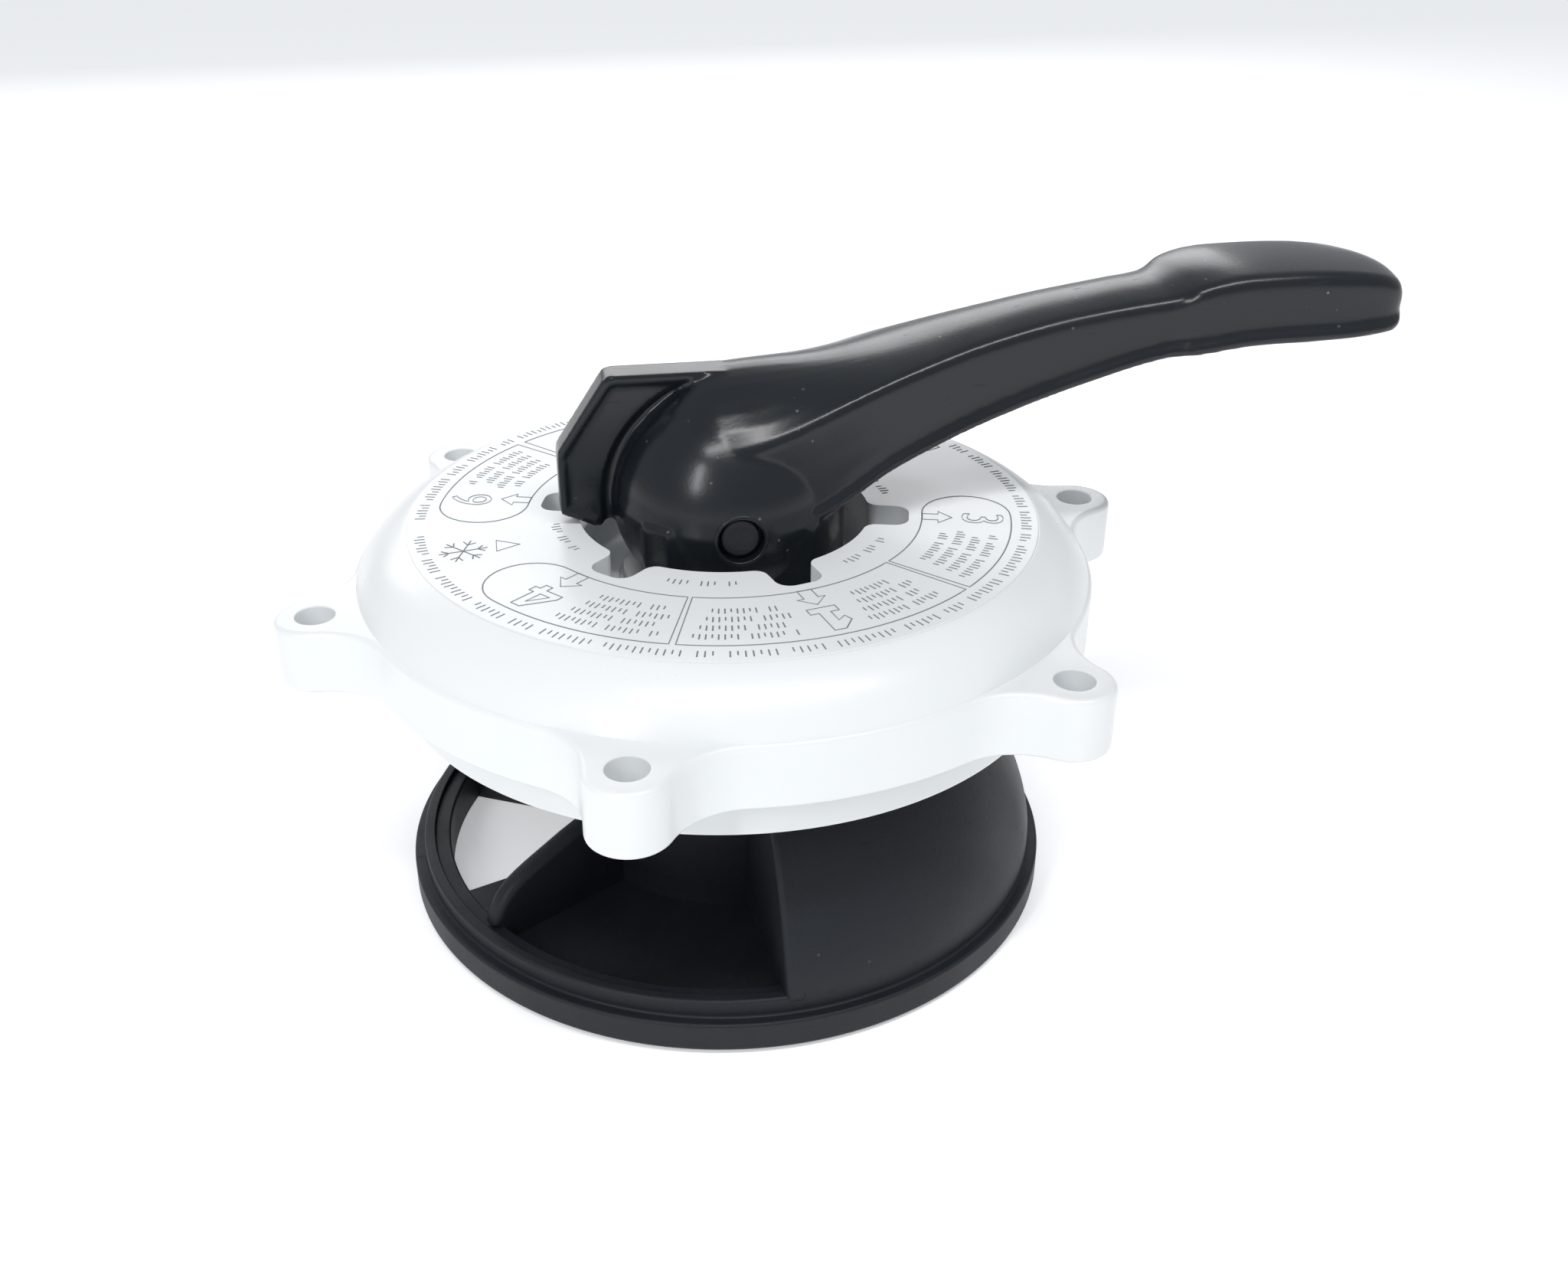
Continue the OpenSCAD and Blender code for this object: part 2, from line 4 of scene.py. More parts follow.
import bmesh
import bpy
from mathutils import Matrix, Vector


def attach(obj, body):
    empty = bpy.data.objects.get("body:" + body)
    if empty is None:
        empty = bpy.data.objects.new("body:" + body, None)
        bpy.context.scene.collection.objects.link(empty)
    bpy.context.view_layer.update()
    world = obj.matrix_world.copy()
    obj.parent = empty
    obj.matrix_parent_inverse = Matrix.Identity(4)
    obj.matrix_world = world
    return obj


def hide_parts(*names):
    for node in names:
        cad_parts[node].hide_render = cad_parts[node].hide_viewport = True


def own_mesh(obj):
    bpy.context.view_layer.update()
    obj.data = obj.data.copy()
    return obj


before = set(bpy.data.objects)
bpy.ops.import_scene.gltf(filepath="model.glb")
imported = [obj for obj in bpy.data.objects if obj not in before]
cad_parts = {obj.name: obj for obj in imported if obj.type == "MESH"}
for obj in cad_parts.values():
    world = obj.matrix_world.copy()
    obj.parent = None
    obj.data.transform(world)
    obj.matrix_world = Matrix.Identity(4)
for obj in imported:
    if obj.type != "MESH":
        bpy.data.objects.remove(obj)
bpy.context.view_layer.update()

MM = 0.001

# Sizes in millimetres, the same as the part's own
FLANGE_R = 70
FLANGE_T = 12
BOLT_R = 77
HOLE_R = 3.5
EAR_R = 7.2
EAR_FLARE_R = 14
EAR_TURN = 10.7
DIAL_R = 59.35
DIAL_Z = 21.1
WELL_R = 27.5
WELL_Z = 7.1
CUP_Z = 2.6
CUP_R = 30.5
SLOT_W = 8.7
SLOT_REACH = 35
SLOT_Z = 15.1
SLOT_TURN = -15
SPIGOT_R = 63.95
SPIGOT_IN_R = 59.45
SPIGOT_Z = -9.3
GROOVE_R = 64.95
GROOVE_Z = 2.3
SHELL_R = 68.9
BORE_R = 10.05
BOSS_R = 15.05
BOSS_Z = -6.9
ROTOR_R = 64.8
ROTOR_Z = -55.3
BAND_Z = -49.3
BELL_R = 62.6
RING_IN_R = 57.4
LIP_Z = -45.8
HUB_R = 29.5
POCKET_R = 25.5
POCKET_Z = -30
ROTOR_TOP_Z = -12
BELL_TOP_R = 40.5
PLATE_TOP_Z = -50.3
WINDOW_SIDE = -147
BLANK_SIDE = -87
WINDOW_END = 153
STEM_R = 10
SEAL_GROOVE = 2.5
PIN_PLAY = 0.05
EYE_HALF = 7
PIN_Z = 24
PIN_R = 3.6
RECESS_R = 4.25
HEAD_R = 21.75
HEAD_X = 0.5
HEAD_Z = 25
FOOT_Z = 10.1
SPRING_LOW_Z = -28
SPRING_TOP_Z = 1.6
SPRING_R = 20.5
WIRE_R = 2
FLOOR_Z = -55.8

# Where the rotor's walls are rooted: in the hub, in the ring, and above the underside
ROOT_R = HUB_R - 1
REACH_R = RING_IN_R + 1
ROOT_Z = ROTOR_Z + 0.6

# The dial's numerals stand on this circle
NUMERAL_R = 48.4


# ---------- modelling helpers ----------

def deselect():
    if bpy.context.object and bpy.context.object.mode != "OBJECT":
        bpy.ops.object.mode_set(mode="OBJECT")
    bpy.ops.object.select_all(action="DESELECT")


def pick(obj):
    deselect()
    obj.select_set(True)
    bpy.context.view_layer.objects.active = obj


def edit(obj):
    pick(obj)
    bpy.ops.object.mode_set(mode="EDIT")
    bpy.ops.mesh.select_all(action="SELECT")


def done():
    bpy.ops.object.mode_set(mode="OBJECT")


def polar(r, angle):
    return r * math.cos(math.radians(angle)), r * math.sin(math.radians(angle))


def turned(points, angle):
    """Points turned about the origin, the angle in degrees."""
    c, s = polar(1, angle)
    return [(x * c - y * s, x * s + y * c) for x, y in points]


def rounded(corners, close=True, per=18):
    """Outline through corners given as (x, y) or (x, y, radius), each radius rounded off."""
    out = []
    n = len(corners)
    for i, c in enumerate(corners):
        r = c[2] if len(c) > 2 else 0
        p = Vector(c[:2])
        if r <= 0 or (not close and i in (0, n - 1)):
            out.append(tuple(p))
            continue
        a = (Vector(corners[i - 1][:2]) - p).normalized()
        b = (Vector(corners[(i + 1) % n][:2]) - p).normalized()
        half = a.angle(b) / 2
        reach = r / math.tan(half)
        centre = p + (a + b).normalized() * (r / math.sin(half))
        start, end = p + a * reach - centre, p + b * reach - centre
        sweep = math.pi - 2 * half
        turn = 1 if start.x * end.y - start.y * end.x > 0 else -1
        steps = max(2, round(math.degrees(sweep) / per))
        for k in range(steps + 1):
            t = turn * sweep * k / steps
            out.append((centre.x + start.x * math.cos(t) - start.y * math.sin(t),
                        centre.y + start.x * math.sin(t) + start.y * math.cos(t)))
    return out


def drawn(name, points, close=False, fill=False):
    """A line drawn vertex by vertex through points in millimetres."""
    deselect()
    bpy.ops.mesh.primitive_plane_add(size=MM, location=(0, 0, 0))
    obj = bpy.context.object
    obj.name = obj.data.name = name
    bpy.ops.object.mode_set(mode="EDIT")
    bpy.ops.mesh.select_all(action="SELECT")
    bpy.ops.mesh.merge(type="CENTER")
    last = Vector((0, 0, 0))
    for i, p in enumerate(points):
        p = Vector(p) * MM
        if i == 0:
            bpy.ops.transform.translate(value=p)
        else:
            bpy.ops.mesh.extrude_vertices_move(TRANSFORM_OT_translate={"value": p - last})
        last = p
    if close or fill:
        bm = bmesh.from_edit_mesh(obj.data)
        bm.verts.ensure_lookup_table()
        bpy.ops.mesh.select_all(action="DESELECT")
        for v in (bm.verts[0], bm.verts[-1]):
            v.select = True
        bm.select_flush(True)
        bpy.ops.mesh.edge_face_add()
    bpy.ops.mesh.select_all(action="SELECT")
    if fill:
        bpy.ops.mesh.edge_face_add()
    done()
    return obj


def spun(name, profile, steps=128, turn=360, start=0):
    """A closed (radius, height) profile spun about the stem's axis."""
    c, s = polar(1, start)
    whole = turn == 360
    obj = drawn(name, [(r * c, r * s, z) for r, z in profile], close=True, fill=not whole)
    edit(obj)
    bpy.ops.mesh.spin(steps=steps, angle=math.radians(-turn), center=(0, 0, 0), axis=(0, 0, 1),
                      use_auto_merge=whole)
    bpy.ops.mesh.select_all(action="SELECT")
    bpy.ops.mesh.remove_doubles(threshold=2e-6)
    bpy.ops.mesh.normals_make_consistent(inside=False)
    done()
    return obj


def pushed(name, outline, low, high):
    """A filled plan outline pushed up from one height to another."""
    obj = drawn(name, [(x, y, low) for x, y in outline], fill=True)
    edit(obj)
    bpy.ops.mesh.extrude_region_move(TRANSFORM_OT_translate={"value": (0, 0, (high - low) * MM)})
    bpy.ops.mesh.select_all(action="SELECT")
    bpy.ops.mesh.normals_make_consistent(inside=False)
    done()
    return obj


def plate(name, outlines, low, high):
    """A plate with holes: all its outlines are drawn, filled between, and pushed up."""
    loops = [drawn(name, [(x, y, low) for x, y in line], close=True) for line in outlines]
    obj = together(name, loops)
    edit(obj)
    bpy.ops.mesh.fill(use_beauty=True)
    bpy.ops.mesh.select_all(action="SELECT")
    bpy.ops.mesh.extrude_region_move(TRANSFORM_OT_translate={"value": (0, 0, (high - low) * MM)})
    bpy.ops.mesh.select_all(action="SELECT")
    bpy.ops.mesh.normals_make_consistent(inside=False)
    done()
    return obj


def together(name, objs):
    deselect()
    for o in objs:
        o.select_set(True)
    bpy.context.view_layer.objects.active = objs[0]
    if len(objs) > 1:
        bpy.ops.object.join()
    obj = bpy.context.object
    obj.name = obj.data.name = name
    return obj


def soften(obj, width, wanted, segments=3):
    """Bevels the edges that wanted(middle, direction, sharpness in degrees) picks, in millimetres."""
    edit(obj)
    bpy.ops.mesh.select_all(action="DESELECT")
    bpy.ops.mesh.select_mode(type="EDGE")
    bm = bmesh.from_edit_mesh(obj.data)
    for e in bm.edges:
        a, b = e.verts[0].co / MM, e.verts[1].co / MM
        sharp = math.degrees(e.calc_face_angle(0)) if len(e.link_faces) == 2 else 0
        if wanted((a + b) / 2, (b - a).normalized() if (b - a).length > 1e-6 else Vector((0, 0, 1)), sharp):
            e.select = True
    bmesh.update_edit_mesh(obj.data)
    bpy.ops.mesh.bevel(offset=width * MM, offset_type="OFFSET", segments=segments, profile=0.5,
                       affect="EDGES", clamp_overlap=True)
    bpy.ops.mesh.select_mode(type="VERT")
    done()


def applied(obj, kind, **values):
    pick(obj)
    m = obj.modifiers.new(kind.title(), kind)
    for k, v in values.items():
        setattr(m, k, v)
    bpy.ops.object.modifier_apply(modifier=m.name)


def cut(obj, tool, way="DIFFERENCE"):
    applied(obj, "BOOLEAN", object=tool, operation=way, solver="EXACT")
    bpy.data.objects.remove(tool)


def placed(obj, shift=(0, 0, 0), turn=0, axis="Z"):
    """Turns an object about an axis through the origin and moves it, with its place kept in its mesh."""
    pick(obj)
    obj.rotation_euler = [math.radians(turn) if axis == a else 0 for a in "XYZ"]
    obj.location = Vector(shift) * MM
    bpy.ops.object.transform_apply(location=True, rotation=True, scale=True)
    return obj


def copied(obj, turn):
    """A copy with its own mesh, turned about the stem's axis."""
    pick(obj)
    bpy.ops.object.duplicate(linked=False)
    return placed(bpy.context.object, turn=turn)


def smooth(obj, angle=30, weighted=True):
    pick(obj)
    bpy.ops.object.shade_smooth_by_angle(angle=math.radians(angle))
    if weighted:
        applied(obj, "WEIGHTED_NORMAL", keep_sharp=True, weight=60)


def circle_part(r, angles, x, y):
    return [(x + px, y + py) for px, py in (polar(r, a) for a in angles)]


def circle(r, steps=128, x=0, y=0):
    return [(x + r * math.cos(2 * math.pi * i / steps), y + r * math.sin(2 * math.pi * i / steps))
            for i in range(steps)]


def curve(a, b, c, d, n=10):
    """Points of a cubic curve from a to d with handles b and c."""
    out = []
    for i in range(n + 1):
        t, u = i / n, 1 - i / n
        out.append(tuple(u ** 3 * a[k] + 3 * u * u * t * b[k] + 3 * u * t * t * c[k] + t ** 3 * d[k]
                         for k in range(2)))
    return out


# ---------- cover ----------

def ear_plan():
    """Outline of the flange with its six ears, each with hollow flares beside it."""
    reach = FLANGE_R + EAR_FLARE_R
    side = EAR_R + EAR_FLARE_R
    flare = math.degrees(math.acos((reach ** 2 + BOLT_R ** 2 - side ** 2) / (2 * BOLT_R * reach)))
    centre = Vector(polar(reach, flare))
    tip = Vector((BOLT_R, 0))
    back = (-centre).normalized()
    across = (tip - centre).normalized()
    first = math.atan2(back.y, back.x)
    sweep = across.angle(back)
    half = []
    for i in range(11):
        t = first + sweep * i / 10
        half.append((centre.x + EAR_FLARE_R * math.cos(t), centre.y + EAR_FLARE_R * math.sin(t)))
    start = math.atan2(-across.y, -across.x)
    for i in range(1, 11):
        t = start * (1 - i / 10)
        half.append((BOLT_R + EAR_R * math.cos(t), EAR_R * math.sin(t)))
    ear = [(x, -y) for x, y in half] + [(x, y) for x, y in reversed(half[:-1])]
    out = []
    for k in range(6):
        turn = EAR_TURN + 60 * k
        out += turned(ear, turn)
        out += [polar(FLANGE_R, turn + flare + (60 - 2 * flare) * i / 12) for i in range(1, 12)]
    return out


def tooth_plan():
    """Outline of the index well with its six slots, the teeth between them rounded."""
    h, soft, end = SLOT_W / 2, 2.4, 2.8
    x = math.sqrt((WELL_R + soft) ** 2 - (h + soft) ** 2)
    corner = math.degrees(math.atan2(h + soft, x))
    out = []
    for k in range(6):
        turn = SLOT_TURN + 60 * k
        side = []
        for i in range(7):
            t = math.radians(180 + corner + (90 - corner) * i / 6)
            side.append((x + soft * math.cos(t), h + soft + soft * math.sin(t)))
        for i in range(7):
            t = math.radians(90 - 90 * i / 6)
            side.append((SLOT_REACH - end + end * math.cos(t), h - end + end * math.sin(t)))
        slot = [(a, -b) for a, b in side] + [(a, b) for a, b in reversed(side)]
        out += turned(slot, turn)
        out += [polar(WELL_R, turn + corner + (60 - 2 * corner) * i / 14) for i in range(1, 14)]
    return out


def skirt(low, high, bulge=1.5, n=12):
    a, d = Vector(low), Vector(high)
    run = d - a
    out = Vector((run.y, -run.x)).normalized() * bulge
    return curve(a, a + run / 3 + out, a + run * 2 / 3 + out, d, n)


def make_cover():
    holes = [circle(HOLE_R, 40, *polar(BOLT_R, EAR_TURN + 60 * k)) for k in range(6)]
    shell_overlap = 0.75
    flange = plate("flange", [ear_plan(), circle(SHELL_R - shell_overlap, 120)] + holes, 0, FLANGE_T)
    ear_holes = [Vector((*polar(BOLT_R, EAR_TURN + 60 * k), 0)) for k in range(6)]

    def rim(mid, way, sharp):
        if sharp < 50 or abs(way.z) > 0.1 or mid.xy.length < 69:
            return False
        return all((mid.xy - h.xy).length > HOLE_R + 0.6 for h in ear_holes)
    soften(flange, 1.1, lambda m, w, s: rim(m, w, s) and m.z > 6, 4)
    soften(flange, 0.7, lambda m, w, s: rim(m, w, s) and m.z < 6, 3)
    soften(flange, 0.35, lambda m, w, s: s > 50 and abs(w.z) < 0.1
           and any((m.xy - h.xy).length < HOLE_R + 0.2 for h in ear_holes), 2)

    shell = spun("shell", rounded([(SPIGOT_IN_R, SPIGOT_Z, 0.8), (SPIGOT_R, SPIGOT_Z, 0.8), (SPIGOT_R, 0, 0.3),
                                   (GROOVE_R, 0, 0.2), (GROOVE_R, GROOVE_Z, 0.2), (SHELL_R, GROOVE_Z),
                                   (SHELL_R, FLANGE_T - 0.8), (SHELL_R + 0.4, FLANGE_T - 0.1)])
                 + skirt((69.2, 12.15), (DIAL_R + 0.25, DIAL_Z - 0.25))
                 + [(DIAL_R - 0.2, DIAL_Z - 0.3), (DIAL_R - 3, DIAL_Z - 1.5)]
                 + skirt((SPIGOT_IN_R, 7.5), (DIAL_R - 4.5, DIAL_Z - 4.5), n=8)[::-1], steps=160)

    dial = plate("dial", [circle(DIAL_R, 160), tooth_plan()], SLOT_Z - 0.2, DIAL_Z)
    soften(dial, 0.3, lambda m, w, s: s > 50 and m.z > DIAL_Z - 0.5 and m.xy.length > 58, 2)
    soften(dial, 1.5, lambda m, w, s: s > 50 and m.z > DIAL_Z - 0.5 and m.xy.length < 36, 5)

    tray_r, tray_z = 38, 12.1
    well_r, rim_z = WELL_R + 0.05, SLOT_Z + 0.1
    cup = spun("cup", rounded([(BORE_R, BOSS_Z, 0.4), (BOSS_R, BOSS_Z, 0.8), (BOSS_R, CUP_Z, 1.2),
                               (CUP_R, CUP_Z, 2), (CUP_R, tray_z, 1), (tray_r, tray_z), (tray_r, rim_z),
                               (well_r, rim_z, 0.7), (well_r, WELL_Z, 1.2), (BORE_R, WELL_Z, 0.3)]), steps=144)
    rib_in, rib_out, rib_half = CUP_R - 1.5, DIAL_R - 1, 1.5
    rib = pushed("rib", [(rib_in, -rib_half), (rib_out, -rib_half), (rib_out, rib_half), (rib_in, rib_half)],
                 CUP_Z + 1, DIAL_Z - 2.5)
    soften(rib, 0.5, lambda m, w, s: s > 50 and m.z < 5, 2)
    ribs = [rib] + [copied(rib, 60 * k) for k in range(1, 6)]
    for r in ribs:
        placed(r, turn=EAR_TURN)
    cover = together("cover_moulding", [flange, shell, dial, cup] + ribs)
    smooth(cover, 32)
    return cover


# ---------- marks on the dial ----------

def strokes(name, lines, width, proud):
    """Fine raised lines on the dial, each a list of (x, y) points in millimetres."""
    deselect()
    data = bpy.data.curves.new(name, "CURVE")
    data.dimensions = "3D"
    data.bevel_depth = width / 2 * MM
    data.bevel_resolution = 1
    data.use_fill_caps = True
    for line, close in lines:
        s = data.splines.new("POLY")
        s.points.add(len(line) - 1)
        for p, (x, y) in zip(s.points, line):
            p.co = (x * MM, y * MM, 0, 1)
        s.use_cyclic_u = close
    obj = bpy.data.objects.new(name, data)
    bpy.context.scene.collection.objects.link(obj)
    pick(obj)
    bpy.ops.object.convert(target="MESH")
    obj = bpy.context.object
    obj.scale = (1, 1, proud / (width / 2))
    obj.location = (0, 0, DIAL_Z * MM)
    bpy.ops.object.transform_apply(location=True, rotation=True, scale=True)
    return obj


def arc(r, a, b, n=24):
    return [polar(r, a + (b - a) * i / n) for i in range(n + 1)]


def tooth_arrow(angle, foot):
    """Hollow arrow that stands on the inner circle and points outwards."""
    neck = foot + 3
    return turned([(foot, -1.3), (neck, -1.3), (neck, -2.6), (foot + 5.6, 0),
                   (neck, 2.6), (neck, 1.3), (foot, 1.3)], angle)


def digit(text, r, angle, size=11.2):
    """Hollow numeral with its top outwards."""
    deselect()
    bpy.ops.object.text_add(location=(0, 0, 0))
    obj = bpy.context.object
    obj.data.body = text
    obj.data.size = size * MM
    obj.data.align_x = "CENTER"
    obj.data.align_y = "CENTER"
    obj.data.offset = 0.3 * MM
    obj.data.resolution_u = 4
    bpy.ops.object.convert(target="CURVE")
    obj = bpy.context.object
    obj.data.dimensions = "3D"
    obj.data.offset = 0
    obj.data.bevel_depth = 0.12 * MM
    obj.data.bevel_resolution = 1
    obj.data.resolution_u = 4
    bpy.ops.object.convert(target="MESH")
    obj = bpy.context.object
    pick(obj)
    obj.rotation_euler = (0, 0, math.radians(angle - 90))
    x, y = polar(r, angle)
    obj.location = (x * MM, y * MM, DIAL_Z * MM)
    bpy.ops.object.transform_apply(location=True, rotation=True, scale=True)
    return obj


def upright(points, r, angle):
    """Points given as (up, right) for a numeral at r, with its top outwards."""
    return turned([(r + up, -right) for up, right in points], angle)


def outline_one(r, angle, tall):
    """Hollow numeral 1 with a foot and a flag."""
    h, w = tall / 2, 1.05
    foot = 1.9 - h
    return upright([(-h, -2.6), (-h, 2.6), (foot, 2.6), (foot, w), (h, w), (h, -w), (h - 2.6, -3.2),
                    (h - 4.2, -2.6), (h - 3.0, -w), (foot, -w), (foot, -2.6)], r, angle)


def outline_four(r, angle):
    """Hollow numeral 4: its outer line and the triangle in it."""
    outer = [(4.1, 0.2), (4.1, 2.2), (-1.1, 2.2), (-1.1, 3.3), (-2.7, 3.3), (-2.7, 2.2), (-4.1, 2.2),
             (-4.1, 0.6), (-2.7, 0.6), (-2.7, -3.2), (-1.3, -3.2)]
    inner = [(-1.2, -1.6), (-1.2, 0.6), (2.3, 0.6)]
    return [upright(line, r, angle) for line in (outer, inner)]


def row_of_ticks(r, a, b, words, tall=2.2, pitch=1.25):
    """Generic graduations in groups, in place of writing, along an arc."""
    out = []
    step = math.degrees(pitch / r)
    angle, i, word = a, 0, 0
    while angle < b:
        if i < words[word % len(words)]:
            low = r - tall / 2
            high = r + tall / 2 if (i + word) % 3 else r + tall / 6
            out.append(([polar(low, angle), polar(high, angle)], False))
            i += 1
            angle += step
        else:
            i, word = 0, word + 1
            angle += step * 1.2
    return out


def sector(a, b, inner=37.5, outer=54.2, round_end=False):
    """Outline of one position's field on the dial; b may be a round end."""
    if not round_end:
        return arc(outer, a, b) + arc(inner, b, a)
    r = (outer - inner) / 2
    mid = (outer + inner) / 2
    way = 1 if b > a else -1
    centre_angle = b - way * math.degrees(r / mid)
    c = Vector(polar(mid, centre_angle))
    end = []
    for i in range(1, 16):
        t = math.radians(centre_angle + way * 180 * i / 16)
        end.append((c.x + r * math.cos(t), c.y + r * math.sin(t)))
    return arc(outer, a, centre_angle) + end + arc(inner, centre_angle, a)


def make_marks():
    lines = []
    for a, b, end in ((-107.8, -155, True), (-106.6, -48.4, False), (-47.2, -2, True),
                      (26, 74, False), (76, 132, False), (134, 179, True)):
        lines.append((sector(a, b, round_end=end), True))
    inner_circle = 37.5
    for angle in (-139, -77, -15, 45, 105, 165):
        lines.append((tooth_arrow(angle, inner_circle), True))
    lines += row_of_ticks(57, -176, 178, (7, 5, 9, 6, 4, 8, 11, 3), 1.9, 1.25)
    for a, b in ((-131, -110), (-104, -84), (-70, -52), (-44, -23), (52, 72), (80, 97), (137, 158)):
        for i, r in enumerate((51.3, 48.3, 45.3, 42.3)):
            lines += row_of_ticks(r, a + i, b - 2 * (i % 2), (8, 6, 9), 1.7, 1.05)
    for k in range(6):
        middle = SLOT_TURN + 30 + 60 * k
        lines += row_of_ticks(32.2, middle - 11, middle + 11, (4, 3, 5), 1.7, 1.15)
    lines.append((outline_one(NUMERAL_R, -77, 8.2), True))
    lines += [(line, True) for line in outline_four(NUMERAL_R, -139)]
    width, proud = 0.28, 0.1
    marks = [strokes("lines", lines, width, proud)]
    for text, angle in (("2", 36), ("3", -15), ("5", 108), ("6", 166)):
        marks.append(digit(text, NUMERAL_R, angle))
    # winter mark: a snow crystal and a small triangle
    flake = []
    centre = Vector(polar(50.2, -167))
    arm, fork, twig = 4.4, 2.6, 1.6
    for k in range(6):
        angle = 60 * k + 12
        way = Vector(polar(1, angle))
        flake.append(([tuple(centre), tuple(centre + arm * way)], False))
        for side in (-45, 45):
            end = centre + fork * way + Vector(polar(twig, angle + side))
            flake.append(([tuple(centre + fork * way), tuple(end)], False))
    tx, ty = polar(42.6, -166.5)
    flake.append(([(tx - 1.6, ty - 2.3), (tx + 2.6, ty), (tx - 1.6, ty + 2.3)], True))
    marks.append(strokes("winter", flake, width, proud))
    obj = together("dial_marks", marks)
    pick(obj)
    bpy.ops.object.shade_flat()
    return obj


# ---------- rotor ----------

def bell(low_r, low_z, high_r, high_z, n=16):
    return curve((low_r, low_z), (low_r, low_z + 8.5), (high_r + 12, high_z - 6), (high_r, high_z), n)


def outer_bell(proud=0.0):
    return bell(BELL_R + proud, BAND_Z + 3, BELL_TOP_R + proud, ROTOR_TOP_Z + proud / 2)


def wall(name, angle, outline, thick=4.0, soft=1.5):
    """Upright partition at one angle, its outer edge rounded into a bead."""
    obj = drawn(name, [(r, -thick / 2, z) for r, z in outline], fill=True)
    edit(obj)
    bpy.ops.mesh.extrude_region_move(TRANSFORM_OT_translate={"value": (0, thick * MM, 0)})
    bpy.ops.mesh.select_all(action="SELECT")
    bpy.ops.mesh.normals_make_consistent(inside=False)
    done()
    soften(obj, soft, lambda m, w, s: s > 60 and abs(w.y) < 0.1 and m.x > HUB_R + 2 and m.z > ROTOR_Z + 1, 4)
    return placed(obj, turn=angle)


